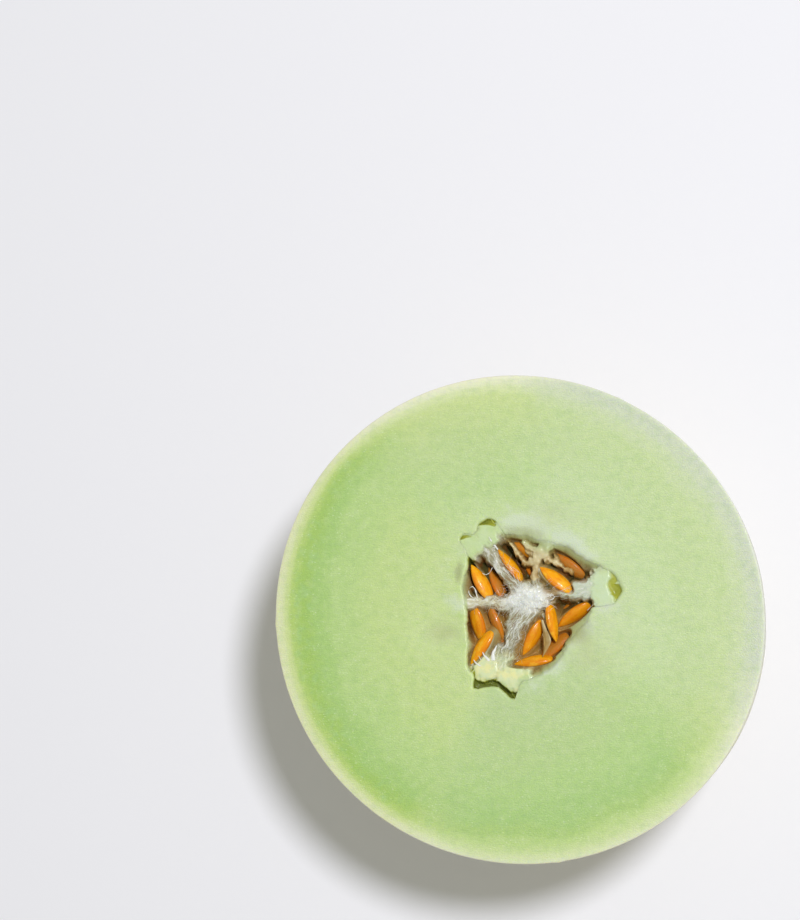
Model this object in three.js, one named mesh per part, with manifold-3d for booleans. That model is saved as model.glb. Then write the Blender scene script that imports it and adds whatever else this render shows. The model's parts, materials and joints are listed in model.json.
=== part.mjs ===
// Half of a honeydew melon, cut across its middle. It rests on its blossom end with the cut face up.
// Millimetres, +Z up. The origin is the middle of the small flat that the half rests on.
import * as THREE from "three";
import Module from "manifold-3d";

const wasm = await Module();
wasm.setup();

// ---- Driving dimensions ----
const CUT_HEIGHT = 78; // from the resting flat up to the cut face
const HALF_LENGTH = 75; // of the cut face, which is a little oval
const HALF_WIDTH = 72.5; // of the cut face, across its long axis
const OVAL_TURN = -25; // degrees from +X to the oval's long axis
const FLAT_RADIUS = 9; // of the flat at the blossom end
const DOME_AROUND = 84; // facets round the dome
const DOME_RINGS = 16; // rings from the flat up to the cut face

const CAVITY_CENTRE = new THREE.Vector2(4, 4); // the seed cavity sits a little off the melon's axis
const CAVITY_DEPTH = 42; // from the cut face to the cavity's bottom
const CAVITY_BOW = 0.42; // how full the cavity stays towards its bottom: 0.5 is an ellipsoid
const CAVITY_AROUND = 104; // facets round the cavity
const CAVITY_LEVELS = [39, 34, 27, 20, 14, 9, 4.5, 1.6, 0.8]; // depths of its rings below the cut face
const CLEFT_DEPTH = 22; // the clefts fade out at this depth, and the cavity is round below it
const ROUND_RADIUS = 23; // of the cavity where the clefts have faded
const LIP = 1.0; // how far the cavity's soft edge flares out at the cut face
const LIP_DROP = 1.6; // depth over which the flare dies away
const GAP = 0.35; // clearance between pieces that lie against each other

const SEED = { length: 12.2, width: 5.2, thickness: 2.3 };
const SEED_RINGS = 8; // stations along a seed
const SEED_AROUND = 10; // facets round a seed

// The cavity's edge at the cut face, counter-clockwise. It is a rounded triangle, and each of its
// three corners ends in a pair of narrow clefts where the tissue has drawn away from the flesh.
const CAVITY_EDGE = [
  [29.0, 3.6], [32.0, 5.6], [33.4, 8.4], [31.8, 11.4], [30.2, 13.6], [25.6, 14.6], [20.8, 16.7],
  [14.0, 20.3], [7.4, 21.9], [2.8, 24.2], [-3.6, 25.3], [-5.6, 28.6], [-8.6, 30.0], [-11.3, 28.4],
  [-12.4, 25.3], [-16.0, 25.4], [-17.3, 23.6], [-15.0, 20.4], [-14.4, 16.0], [-15.8, 9.6],
  [-14.8, 2.6], [-14.6, -3.0], [-14.2, -8.4], [-14.6, -13.2], [-12.8, -17.0], [-13.0, -21.2],
  [-9.6, -20.6], [-5.4, -20.6], [-2.6, -23.2], [-0.5, -24.4], [1.8, -18.4], [7.0, -16.9],
  [11.2, -13.0], [14.0, -8.2], [16.6, -3.8], [21.2, -0.6], [23.0, 2.8],
];

// The placenta is the soft white tissue that carries the seeds. From its core three arms reach the
// corners of the cavity and end there in two rounded lobes each. Heights are below the cut face.
const TISSUE_TOP = 0.6; // the knife cut the arms off level, and they have sunk this far since
const BED_TOP = 9.4; // the tissue between the arms
const CUSHION_HALF_WIDTH = 1.7; // of the mound that each seed lies on
const CUSHION_REACH = 3.4; // of that mound's spine to either side of the seed's middle
const CORE = { from: [1.4, 4.6], to: [7.4, 4.4], half_width: 4.6, top: 0.2 };
const ARMS = [
  { from: [1.6, 7.4], to: [-9.6, 22.6], half_width: 2.4, top: -0.4 },
  { from: [8.0, 6.6], to: [27.0, 8.9], half_width: 2.8, top: -0.6 },
  { from: [3.4, 2.0], to: [-4.0, -14.6], half_width: 3.4, top: 0.2 },
];
const PARTITIONS = [
  { from: [0.0, 5.2], to: [-12.6, 4.9], half_width: 1.5, top: 1.4 },
  { from: [7.6, 1.2], to: [9.6, -9.0], half_width: 1.1, top: 2.6 },
];
const LOBES = [
  { at: [-8.5, 25.3], radius: 3.4 },
  { at: [-13.2, 22.2], radius: 3.6 },
  { at: [27.4, 11.2], radius: 3.1 },
  { at: [27.3, 6.8], radius: 3.3 },
  { at: [-8.9, -15.3], radius: 4.0 },
  { at: [-1.3, -17.7], radius: 4.5 },
];
const LOBE_RISE = 1.2; // how far the lobes would stand above the cut face if the knife had missed them
const FORM_HEIGHT = 11; // from a ridge's or a lobe's top down to its foot, inside the bed
const RIDGE_FACETS = [7, 10]; // along and round a ridge
const LOBE_FACETS = [6, 16]; // up and round a lobe
const CUSHION_FACETS = [4, 8]; // along and round a cushion

// Seeds: the middle's place, its depth below the cut face, and the turns in degrees. The pointed
// end leads along the heading, a positive pitch lifts it, and a seed with no roll lies flat.
const SEEDS = [
  { x: -2.2, y: 16.0, down: 3.0, heading: 127, pitch: 5, roll: 70 },
  { x: 2.8, y: 20.4, down: 4.8, heading: 156, pitch: 0, roll: -40 },
  { x: 15.2, y: 15.9, down: 5.2, heading: 142, pitch: 4, roll: -35 },
  { x: 11.7, y: 11.6, down: 2.8, heading: 142, pitch: 4, roll: 33 },
  { x: 19.6, y: 9.8, down: 7.4, heading: 150, pitch: -4, roll: 20 },
  { x: -10.5, y: 11.1, down: 3.0, heading: 119, pitch: 4, roll: 37 },
  { x: -12.4, y: 10.0, down: 7.0, heading: 106, pitch: 4, roll: 72 },
  { x: -6.0, y: 10.4, down: 6.8, heading: 117, pitch: -4, roll: 60 },
  { x: -11.3, y: -2.2, down: 4.9, heading: -78, pitch: -14, roll: 25 },
  { x: -6.3, y: -1.4, down: 5.2, heading: -67, pitch: -4, roll: 60 },
  { x: -3.9, y: -7.6, down: 8.8, heading: -68, pitch: 0, roll: 30 },
  { x: -10.4, y: -8.8, down: 2.4, heading: 236, pitch: 0, roll: 37 },
  { x: 4.8, y: -5.8, down: 5.0, heading: 240, pitch: 0, roll: -48 },
  { x: 11.4, y: -1.3, down: 2.5, heading: -80, pitch: 0, roll: -64 },
  { x: 17.4, y: 0.4, down: 5.6, heading: 214, pitch: -4, roll: -44 },
  { x: 5.0, y: -13.2, down: 4.2, heading: 188, pitch: 0, roll: 58 },
  { x: 10.6, y: -9.0, down: 7.6, heading: 222, pitch: 0, roll: 30 },
  { x: 4.4, y: 14.2, down: 7.6, heading: 130, pitch: -8, roll: 35 },
  { x: 9.4, y: 17.0, down: 8.2, heading: 150, pitch: 0, roll: 15 },
  { x: 18.6, y: 5.0, down: 8.6, heading: 200, pitch: 6, roll: 20 },
];

const MATERIALS = {
  melon: { color: 0xbfd494, roughness: 0.45, metalness: 0 },
  placenta: { color: 0xdfe3d2, roughness: 0.5, metalness: 0 },
  seed: { color: 0xe08a1c, roughness: 0.3, metalness: 0 },
};

// ---- Solids ----

// A closed mesh through rings of equal length, each counter-clockwise seen from the last one's
// side. The first and last rings are closed by fans.
function loft(rings) {
  const count = rings[0].length;
  const points = rings.flat();
  const triangles = [];
  for (let r = 0; r + 1 < rings.length; r++) {
    for (let k = 0; k < count; k++) {
      const a = r * count + k;
      const b = r * count + ((k + 1) % count);
      triangles.push([a, b, b + count], [a, b + count, a + count]);
    }
  }
  const middle = (ring) => ring.reduce((sum, p) => sum.add(p), new THREE.Vector3()).divideScalar(count);
  const first = points.push(middle(rings[0])) - 1;
  const last = points.push(middle(rings[rings.length - 1])) - 1;
  const top = (rings.length - 1) * count;
  for (let k = 0; k < count; k++) {
    const next = (k + 1) % count;
    triangles.push([first, next, k], [last, top + k, top + next]);
  }
  return new wasm.Manifold(new wasm.Mesh({
    numProp: 3,
    vertProperties: new Float32Array(points.flatMap((p) => p.toArray())),
    triVerts: new Uint32Array(triangles.flat()),
  }));
}

function geometryOf(solid) {
  const mesh = solid.getMesh();
  const geometry = new THREE.BufferGeometry();
  geometry.setAttribute("position", new THREE.BufferAttribute(new Float32Array(mesh.vertProperties), 3));
  geometry.setIndex(new THREE.BufferAttribute(new Uint32Array(mesh.triVerts), 1));
  geometry.computeVertexNormals();
  return geometry;
}

function circle(count, place) {
  return Array.from({ length: count }, (_, k) => place((2 * Math.PI * k) / count));
}

// ---- Melon half: skin and flesh, which grew as one ----

function dome() {
  const foot = Math.asin(FLAT_RADIUS / HALF_LENGTH);
  const up = new THREE.Vector3(0, 0, 1);
  const oval = THREE.MathUtils.degToRad(OVAL_TURN);
  const rings = [];
  for (let r = 0; r < DOME_RINGS; r++) {
    const climb = THREE.MathUtils.lerp(foot, Math.PI / 2, r / (DOME_RINGS - 1));
    const reach = Math.sin(climb);
    const z = CUT_HEIGHT * (1 - Math.cos(climb) / Math.cos(foot));
    rings.push(circle(DOME_AROUND, (turn) =>
      new THREE.Vector3(HALF_LENGTH * reach * Math.cos(turn), HALF_WIDTH * reach * Math.sin(turn), z)
        .applyAxisAngle(up, oval)));
  }
  return loft(rings);
}

const cavityEdge = new THREE.CatmullRomCurve3(
  CAVITY_EDGE.map(([x, y]) => new THREE.Vector3(x, y, 0)), true, "centripetal");

// The cavity's wall at one depth: its edge at the cut face, which turns round further down.
function wallAt(depth) {
  const narrowing = (1 - (depth / CAVITY_DEPTH) ** 2) ** CAVITY_BOW;
  const roundness = THREE.MathUtils.smoothstep(depth, 1, CLEFT_DEPTH);
  return circle(CAVITY_AROUND, (turn) => {
    const point = cavityEdge.getPointAt(turn / (2 * Math.PI));
    const spoke = new THREE.Vector2(point.x, point.y).sub(CAVITY_CENTRE);
    spoke.setLength(narrowing * THREE.MathUtils.lerp(spoke.length(), ROUND_RADIUS, roundness));
    return spoke.add(CAVITY_CENTRE);
  });
}

// One level of the cavity, drawn in from the wall and up from the bottom by a clearance.
function cavityRing(down, clearance) {
  const depth = Math.min(Math.max(down + clearance, 0), CAVITY_DEPTH);
  const flare = LIP * Math.max(0, 1 - depth / LIP_DROP) ** 2;
  const wall = wallAt(depth);
  return wall.map((point, k) => {
    const before = wall[(k + CAVITY_AROUND - 1) % CAVITY_AROUND];
    const after = wall[(k + 1) % CAVITY_AROUND];
    const outward = new THREE.Vector2(after.y - before.y, before.x - after.x).normalize();
    const moved = point.clone().addScaledVector(outward, flare - clearance);
    return new THREE.Vector3(moved.x, moved.y, CUT_HEIGHT - down);
  });
}

// The space inside the cavity, from just above its bottom up to a level below the cut face.
function cavitySpace(top, clearance) {
  const bottom = CAVITY_DEPTH - 0.5 - clearance;
  const between = CAVITY_LEVELS.filter((down) => down > top);
  return loft([bottom, ...between, top].map((down) => cavityRing(down, clearance)));
}

function melonHalf() {
  return dome().subtract(cavitySpace(-1, 0));
}

// ---- Placenta ----

// An upright wall of tissue with a rounded top and round ends, from one point to another.
function ridge({ from, to, half_width: half, top }, [stations, around] = RIDGE_FACETS) {
  const start = new THREE.Vector2(...from);
  const along = new THREE.Vector2(...to).sub(start);
  const length = along.length();
  along.normalize();
  const across = new THREE.Vector2(-along.y, along.x);
  const middle = CUT_HEIGHT - top - FORM_HEIGHT / 2;
  const rings = [];
  for (let s = 0; s <= stations; s++) {
    const swing = Math.PI * THREE.MathUtils.lerp(0.04, 0.96, s / stations);
    const run = length / 2 - (length / 2 + half) * Math.cos(swing);
    const swell = Math.min(1, 1.6 * Math.sin(swing)) ** 0.6;
    rings.push(circle(around, (turn) => {
      const side = -half * swell * Math.cos(turn);
      const x = start.x + along.x * run + across.x * side;
      const y = start.y + along.y * run + across.y * side;
      return new THREE.Vector3(x, y, middle - (FORM_HEIGHT / 2) * swell * Math.sin(turn));
    }));
  }
  return loft(rings);
}

// An upright lobe with a rounded top and foot. The top is cut off level with the rest of the tissue.
function lobe({ at: [x, y], radius }) {
  const [stations, around] = LOBE_FACETS;
  const rings = [];
  for (let s = 0; s <= stations; s++) {
    const swing = Math.PI * THREE.MathUtils.lerp(0.05, 0.95, s / stations);
    const girth = radius * Math.sqrt(Math.sin(swing));
    const z = CUT_HEIGHT + LOBE_RISE - (FORM_HEIGHT / 2) * (1 + Math.cos(swing));
    rings.push(circle(around, (turn) =>
      new THREE.Vector3(x + girth * Math.cos(turn), y + girth * Math.sin(turn), z)));
  }
  return loft(rings);
}

// A mound of tissue under a seed, narrower than the seed.
function cushion({ x, y, down, heading }) {
  const turn = THREE.MathUtils.degToRad(heading);
  const reach = new THREE.Vector2(Math.cos(turn), Math.sin(turn)).multiplyScalar(CUSHION_REACH);
  const from = [x - reach.x, y - reach.y];
  const to = [x + reach.x, y + reach.y];
  return ridge({ from, to, half_width: CUSHION_HALF_WIDTH, top: down }, CUSHION_FACETS);
}

function bed() {
  const reach = 2 * ROUND_RADIUS;
  const level = (z) => circle(24, (turn) =>
    new THREE.Vector3(reach * Math.cos(turn), reach * Math.sin(turn), z));
  return loft([level(CUT_HEIGHT - 2 * CAVITY_DEPTH), level(CUT_HEIGHT - BED_TOP)]);
}

function placenta() {
  const ridges = [CORE, ...ARMS, ...PARTITIONS].map((form) => ridge(form));
  let tissue = bed();
  for (const form of [...ridges, ...LOBES.map(lobe), ...SEEDS.map(cushion)]) {
    tissue = tissue.add(form);
  }
  tissue = tissue.intersect(cavitySpace(TISSUE_TOP, GAP));
  for (const seed of SEEDS) {
    tissue = tissue.subtract(seedSolid(GAP).transform(placeOf(seed).toArray()));
  }
  return tissue;
}

// ---- Seeds ----

// A flat almond along X, blunt at its tail and pointed at +X, swollen all over by a clearance.
function seedSolid(swell) {
  const rings = [];
  for (let s = 0; s <= SEED_RINGS; s++) {
    const share = THREE.MathUtils.lerp(0.012, 0.988, (1 - Math.cos((Math.PI * s) / SEED_RINGS)) / 2);
    const body = Math.sin(Math.PI * share ** 0.8);
    const tapering = THREE.MathUtils.lerp(0.45, 0.85, share);
    const half_width = (SEED.width / 2) * body ** tapering + swell;
    const half_thickness = (SEED.thickness / 2) * body ** 0.6 + swell;
    const x = (share - 0.5) * (SEED.length + 2 * swell);
    rings.push(circle(SEED_AROUND, (turn) =>
      new THREE.Vector3(x, half_width * Math.cos(turn), half_thickness * Math.sin(turn))));
  }
  return loft(rings);
}

function placeOf({ x, y, down, heading, pitch, roll }) {
  const radians = THREE.MathUtils.degToRad;
  const turn = new THREE.Quaternion().setFromEuler(
    new THREE.Euler(radians(roll), radians(-pitch), radians(heading), "ZYX"));
  return new THREE.Matrix4().compose(
    new THREE.Vector3(x, y, CUT_HEIGHT - down), turn, new THREE.Vector3(1, 1, 1));
}

// ---- Assembly ----

function named(name, geometry, material) {
  const mesh = new THREE.Mesh(geometry, new THREE.MeshStandardMaterial(material));
  mesh.name = name;
  return mesh;
}

const melon = new THREE.Group();
melon.add(named("melon_half", geometryOf(melonHalf()), MATERIALS.melon));
melon.add(named("placenta", geometryOf(placenta()), MATERIALS.placenta));
const seedGeometry = geometryOf(seedSolid(0));
SEEDS.forEach((seed, index) => {
  const mesh = named(`seed_${String(index + 1).padStart(2, "0")}`, seedGeometry, MATERIALS.seed);
  mesh.applyMatrix4(placeOf(seed));
  melon.add(mesh);
});

export default melon;
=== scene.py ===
"""Half of a honeydew melon, cut across, resting on its blossom end with the cut face up.

Run as a script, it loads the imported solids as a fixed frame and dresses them: the cut flesh and
waxy skin, the white tissue in the seed cavity, the seeds, and the fine fibres between them.
"""

import json
import math

import bmesh
import bpy
import numpy as np
from bpy.props import FloatProperty, FloatVectorProperty, IntProperty, PointerProperty
from mathutils import Matrix, Vector, noise
from mathutils.bvhtree import BVHTree

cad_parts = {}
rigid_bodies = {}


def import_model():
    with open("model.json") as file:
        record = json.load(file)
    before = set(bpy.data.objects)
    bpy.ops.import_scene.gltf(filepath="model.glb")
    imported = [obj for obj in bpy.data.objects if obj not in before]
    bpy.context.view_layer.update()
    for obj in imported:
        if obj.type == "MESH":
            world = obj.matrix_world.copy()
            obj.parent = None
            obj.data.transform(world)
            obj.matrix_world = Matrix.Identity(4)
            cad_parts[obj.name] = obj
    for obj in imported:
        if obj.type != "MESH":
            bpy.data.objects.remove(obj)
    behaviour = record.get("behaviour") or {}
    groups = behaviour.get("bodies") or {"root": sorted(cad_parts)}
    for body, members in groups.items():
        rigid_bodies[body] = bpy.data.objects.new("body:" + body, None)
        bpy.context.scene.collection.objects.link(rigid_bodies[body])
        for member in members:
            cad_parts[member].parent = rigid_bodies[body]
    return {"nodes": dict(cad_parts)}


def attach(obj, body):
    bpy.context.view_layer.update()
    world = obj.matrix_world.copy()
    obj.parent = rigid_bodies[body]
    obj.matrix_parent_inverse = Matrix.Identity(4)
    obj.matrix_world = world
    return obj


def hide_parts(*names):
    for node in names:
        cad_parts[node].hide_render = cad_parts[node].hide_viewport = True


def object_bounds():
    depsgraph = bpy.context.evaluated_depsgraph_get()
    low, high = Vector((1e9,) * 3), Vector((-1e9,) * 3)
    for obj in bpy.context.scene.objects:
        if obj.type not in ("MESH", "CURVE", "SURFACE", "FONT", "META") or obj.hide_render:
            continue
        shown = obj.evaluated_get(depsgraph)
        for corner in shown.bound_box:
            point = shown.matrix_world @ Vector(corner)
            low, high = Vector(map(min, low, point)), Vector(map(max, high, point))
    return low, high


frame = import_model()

bl_info = {
    "name": "Honeydew Half",
    "version": (1, 0, 0),
    "blender": (4, 5, 0),
    "location": "View3D > Sidebar > Melon",
    "description": "Dresses the solids of a halved honeydew melon",
    "category": "Object",
}

MM = 0.001
BODY = "root"
SEED_NODES = sorted(name for name in frame["nodes"] if name.startswith("seed_"))

CAD_LOW, CAD_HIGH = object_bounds()
CUT_Z = CAD_HIGH[2] / MM  # height of the cut face, mm
FACE = Vector((0.0, 0.0, CUT_Z * MM))


# ---- Shared helpers ----

def srgb(red, green, blue):
    """Linear colour from 0-255 display values."""
    def linear(value):
        value /= 255
        return value / 12.92 if value <= 0.04045 else ((value + 0.055) / 1.055) ** 2.4
    return linear(red), linear(green), linear(blue)


def smoothstep(low, high, value):
    """0 at low, 1 at high and smooth between; low may be the larger one."""
    share = np.clip((np.asarray(value, float) - low) / (high - low), 0, 1)
    return share * share * (3 - 2 * share)


def by_direction(rows, degrees):
    """Values in each direction, from rows of (degrees, value) that run from 0 to 360."""
    return np.interp(degrees, *zip(*rows))


def node_points(name):
    """The separate vertices of a CAD node, in mm."""
    mesh = frame["nodes"][name].data
    flat = np.zeros(len(mesh.vertices) * 3, np.float32)
    mesh.vertices.foreach_get("co", flat)
    return np.unique(np.round(flat.reshape(-1, 3) / MM, 3), axis=0)


def mesh_coords(mesh):
    """Where a mesh's vertices are, one row each, in metres."""
    flat = np.zeros(len(mesh.vertices) * 3, np.float32)
    mesh.vertices.foreach_get("co", flat)
    return flat.reshape(-1, 3).astype(float)


def mesh_normals(mesh):
    """The normals of a mesh's vertices, one row each."""
    flat = np.zeros(len(mesh.vertices) * 3, np.float32)
    mesh.vertex_normals.foreach_get("vector", flat)
    return flat.reshape(-1, 3).astype(float)


def noise_at(points, scale, seed=0.0, octaves=3):
    """Fractal noise, about -1 to 1, of points in mm at a feature size in mm."""
    offset = Vector((seed, 1.7 * seed, 2.3 * seed))
    return np.array([
        noise.fractal(Vector(p) / scale + offset, 1.0, 2.0, octaves, noise_basis="PERLIN_ORIGINAL")
        for p in points])


def ring_mesh(name, rings):
    """A closed mesh through rings of equal length (mm), its two ends closed by fans."""
    rings = np.asarray(rings, float)
    rows, around = rings.shape[:2]
    points = rings.reshape(-1, 3)
    points = np.vstack([points, rings[0].mean(0), rings[-1].mean(0)])
    start = (np.arange(rows - 1)[:, None] * around + np.arange(around)[None, :]).ravel()
    turn = (np.arange(rows - 1)[:, None] * around + np.roll(np.arange(around), -1)[None, :]).ravel()
    quads = np.stack([start, turn, turn + around, start + around], 1)
    first, last = rows * around, rows * around + 1
    loop = np.arange(around)
    after = np.roll(loop, -1)
    fan_in = np.stack([np.full(around, first), after, loop], 1)
    top = (rows - 1) * around
    fan_out = np.stack([np.full(around, last), top + loop, top + after], 1)
    mesh = bpy.data.meshes.new(name)
    mesh.from_pydata((points * MM).tolist(), [], quads.tolist() + fan_in.tolist() + fan_out.tolist())
    mesh.update()
    return mesh


def face_outwards(mesh):
    """Turns a closed mesh's faces to point out of it."""
    form = bmesh.new()
    form.from_mesh(mesh)
    if form.calc_volume(signed=True) < 0:
        bmesh.ops.reverse_faces(form, faces=form.faces)
    form.to_mesh(mesh)
    form.free()
    mesh.update()


def put(name, mesh, *materials):
    """A smooth object of a mesh, in the scene, at the origin."""
    piece = bpy.data.objects.new(name, mesh)
    bpy.context.collection.objects.link(piece)
    for material in materials:
        mesh.materials.append(material)
    mesh.polygons.foreach_set("use_smooth", [True] * len(mesh.polygons))
    return piece


def store(mesh, name, values):
    """A number for each vertex."""
    attribute = mesh.attributes.new(name, "FLOAT", "POINT")
    attribute.data.foreach_set("value", np.asarray(values, np.float32))


def store_vector(mesh, name, values):
    """A vector for each vertex."""
    attribute = mesh.attributes.new(name, "FLOAT_VECTOR", "POINT")
    attribute.data.foreach_set("vector", np.asarray(values, np.float32).ravel())


def smooth_path(points, steps=6):
    """More points along a path, on a Catmull-Rom curve through the given ones."""
    points = np.asarray(points, float)
    padded = np.vstack([2 * points[0] - points[1], points, 2 * points[-1] - points[-2]])
    out = []
    for k in range(1, len(padded) - 2):
        before, here, after, beyond = padded[k - 1:k + 3]
        for t in np.linspace(0, 1, steps, endpoint=False):
            out.append(0.5 * (2 * here + (after - before) * t
                              + (2 * before - 5 * here + 4 * after - beyond) * t * t
                              + (3 * here - before - 3 * after + beyond) * t ** 3))
    out.append(points[-1])
    return np.array(out)


def turned(offsets, degrees):
    """Plan offsets in a frame turned by some degrees."""
    turn = math.radians(degrees)
    return offsets @ np.array([[math.cos(turn), -math.sin(turn)], [math.sin(turn), math.cos(turn)]])


def hand_in(piece, slot, *nodes):
    """The calls that tie a finished piece to the frame."""
    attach(piece, BODY)
    if nodes:
        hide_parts(*nodes)


# ---- Material helpers ----

class Shader:
    """A node tree under construction, with short calls for the nodes the finishes use."""

    def __init__(self, name):
        self.material = bpy.data.materials.new(name)
        self.material.use_nodes = True
        self.tree = self.material.node_tree
        self.surface = self.tree.nodes["Principled BSDF"]
        self.place = self.tree.nodes.new("ShaderNodeTexCoord").outputs["Object"]

    def link(self, source, target):
        """Joins an output to an input."""
        self.tree.links.new(source, target)

    def set(self, **values):
        """Constants of the surface, with _ for each space in a socket's name."""
        for name, value in values.items():
            self.surface.inputs[name.replace("_", " ")].default_value = value

    def _feed(self, socket, value):
        """Links a socket to another one, or gives it a colour or a number."""
        if isinstance(value, bpy.types.NodeSocket):
            self.link(value, socket)
        elif isinstance(value, tuple) and len(value) == 3 and socket.type == "RGBA":
            socket.default_value = (*value, 1)
        else:
            socket.default_value = value

    def attribute(self, name, output="Fac"):
        """A value that the mesh's vertices hold."""
        node = self.tree.nodes.new("ShaderNodeAttribute")
        node.attribute_name = name
        return node.outputs[output]

    def stretched(self, scale, source=None):
        """Coordinates in mm divided by a feature size for each direction."""
        node = self.tree.nodes.new("ShaderNodeMapping")
        node.vector_type = "POINT"
        self.link(source or self.place, node.inputs["Vector"])
        unit = 1 if source else 1 / MM
        node.inputs["Scale"].default_value = tuple(unit / s for s in scale)
        return node.outputs["Vector"]

    def noise(self, size, detail=3.0, roughness=0.5, distortion=0.0, source=None):
        """Fractal noise of one feature size in mm, or of one for each direction."""
        node = self.tree.nodes.new("ShaderNodeTexNoise")
        sizes = size if isinstance(size, tuple) else (size, size, size)
        self.link(self.stretched(sizes, source), node.inputs["Vector"])
        node.inputs["Scale"].default_value = 1.0
        node.inputs["Detail"].default_value = detail
        node.inputs["Roughness"].default_value = roughness
        node.inputs["Distortion"].default_value = distortion
        return node.outputs["Fac"]

    def cells(self, size):
        """Distance from the middles of scattered cells of some mm."""
        node = self.tree.nodes.new("ShaderNodeTexVoronoi")
        sizes = size if isinstance(size, tuple) else (size, size, size)
        self.link(self.stretched(sizes), node.inputs["Vector"])
        node.inputs["Scale"].default_value = 1.0
        return node.outputs["Distance"]

    def math(self, operation, first, second=0.0, third=0.0, clamp=False):
        """What an operation makes of up to three sockets or numbers."""
        node = self.tree.nodes.new("ShaderNodeMath")
        node.operation = operation
        node.use_clamp = clamp
        for socket, value in zip(node.inputs, (first, second, third)):
            self._feed(socket, value)
        return node.outputs["Value"]

    def remap(self, value, low, high, to_low=0.0, to_high=1.0):
        """A smooth step from to_low at low to to_high at high."""
        node = self.tree.nodes.new("ShaderNodeMapRange")
        node.interpolation_type = "SMOOTHSTEP"
        self._feed(node.inputs["Value"], value)
        node.inputs["From Min"].default_value = low
        node.inputs["From Max"].default_value = high
        node.inputs["To Min"].default_value = to_low
        node.inputs["To Max"].default_value = to_high
        return node.outputs["Result"]

    def mix(self, factor, first, second, blend="MIX"):
        """The first colour at factor 0, blended with the second towards 1."""
        node = self.tree.nodes.new("ShaderNodeMix")
        node.data_type = "RGBA"
        node.blend_type = blend
        self._feed(node.inputs["Factor"], factor)
        self._feed(node.inputs[6], first)
        self._feed(node.inputs[7], second)
        return node.outputs[2]

    def ramp(self, value, span, stops):
        """A colour ramp over span mm, whose stops are (mm, colour)."""
        node = self.tree.nodes.new("ShaderNodeValToRGB")
        node.color_ramp.interpolation = "EASE"
        elements = node.color_ramp.elements
        while len(elements) > 1:
            elements.remove(elements[-1])
        for index, (position, colour) in enumerate(stops):
            element = elements[0] if index == 0 else elements.new(position / span)
            element.position = position / span
            element.color = (*colour, 1)
        self.link(self.math("DIVIDE", value, span, clamp=True), node.inputs["Fac"])
        return node.outputs["Color"]

    def xyz(self):
        """Where a point lies, in metres."""
        node = self.tree.nodes.new("ShaderNodeSeparateXYZ")
        self.link(self.place, node.inputs["Vector"])
        return node.outputs

    def bump(self, height, distance, strength):
        """A normal for heights from 0 to 1, over a distance in mm."""
        node = self.tree.nodes.new("ShaderNodeBump")
        self._feed(node.inputs["Height"], height)
        node.inputs["Distance"].default_value = distance * MM
        node.inputs["Strength"].default_value = strength
        return node.outputs["Normal"]

    def finish(self, colour, roughness, normal):
        """Joins the surface's colour, roughness and normal, and gives the material."""
        for name, value in (("Base Color", colour), ("Roughness", roughness), ("Normal", normal)):
            self.link(value, self.surface.inputs[name])
        return self.material


# ---- Settings ----

class MelonSettings(bpy.types.PropertyGroup):
    """Colours of the flesh and the skin, and the cut face's waves"""
    # The pale flesh colour also carries the painted sheen beside the cavity.
    flesh_inner: FloatVectorProperty(
        name="Pale flesh", description="The whitish flesh beside the seed cavity",
        subtype="COLOR", min=0, max=1, default=srgb(212, 224, 196))
    flesh_green: FloatVectorProperty(
        name="Cool green", description="The cooler patches in the green band inside the rind",
        subtype="COLOR", min=0, max=1, default=srgb(166, 201, 130))
    # Painted shade: the darker olive of the flesh down in the clefts.
    cleft_shade: FloatVectorProperty(
        name="Clefts", description="The green flesh in the clefts beside the lobes",
        subtype="COLOR", min=0, max=1, default=srgb(118, 128, 48))
    skin: FloatVectorProperty(
        name="Skin", description="The waxy outer skin",
        subtype="COLOR", min=0, max=1, default=srgb(233, 229, 202))
    skin_warm: FloatVectorProperty(
        name="Warm skin", description="The yellower patches of the skin",
        subtype="COLOR", min=0, max=1, default=srgb(231, 219, 172))
    wave: FloatProperty(
        name="Face waves", description="Height of the cut face's slow waves, in mm",
        min=0, max=1, default=0.12)


class TissueSettings(bpy.types.PropertyGroup):
    """Colours and fineness of the tissue and its fibres"""
    white: FloatVectorProperty(
        name="Core", description="The white fibrous core",
        subtype="COLOR", min=0, max=1, default=srgb(238, 240, 230))
    lobe: FloatVectorProperty(
        name="Lobes", description="The pale green ends of the arms",
        subtype="COLOR", min=0, max=1, default=srgb(206, 223, 182))
    # The juice colour's darkness is partly painted shade of the deep pockets.
    juice: FloatVectorProperty(
        name="Juice", description="The brown juice low between the seeds",
        subtype="COLOR", min=0, max=1, default=srgb(116, 74, 28))
    grain: FloatProperty(
        name="Grain", description="Edge of the cells of the tissue's surface",
        subtype="DISTANCE", min=0.0001, max=0.002, default=0.00018)
    strands: IntProperty(
        name="Strands", description="How many fine fibres lie over the tissue",
        min=0, max=2000, default=420)
    strand_radius: FloatProperty(
        name="Strand radius", description="Half thickness of a fine fibre",
        subtype="DISTANCE", min=0.00002, max=0.0005, default=0.00004)


class SeedSettings(bpy.types.PropertyGroup):
    """Colours of the seeds"""
    bright: FloatVectorProperty(
        name="Bright", description="Seed coat in the light",
        subtype="COLOR", min=0, max=1, default=srgb(255, 172, 6))
    # The deep colour is partly painted shade for seeds low in the cavity.
    deep: FloatVectorProperty(
        name="Deep", description="Seed coat low in the cavity",
        subtype="COLOR", min=0, max=1, default=srgb(186, 114, 28))
    # Painted shade along a seed's rounded rim.
    margin: FloatVectorProperty(
        name="Margin", description="The darker rim round a seed",
        subtype="COLOR", min=0, max=1, default=srgb(218, 118, 12))


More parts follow.
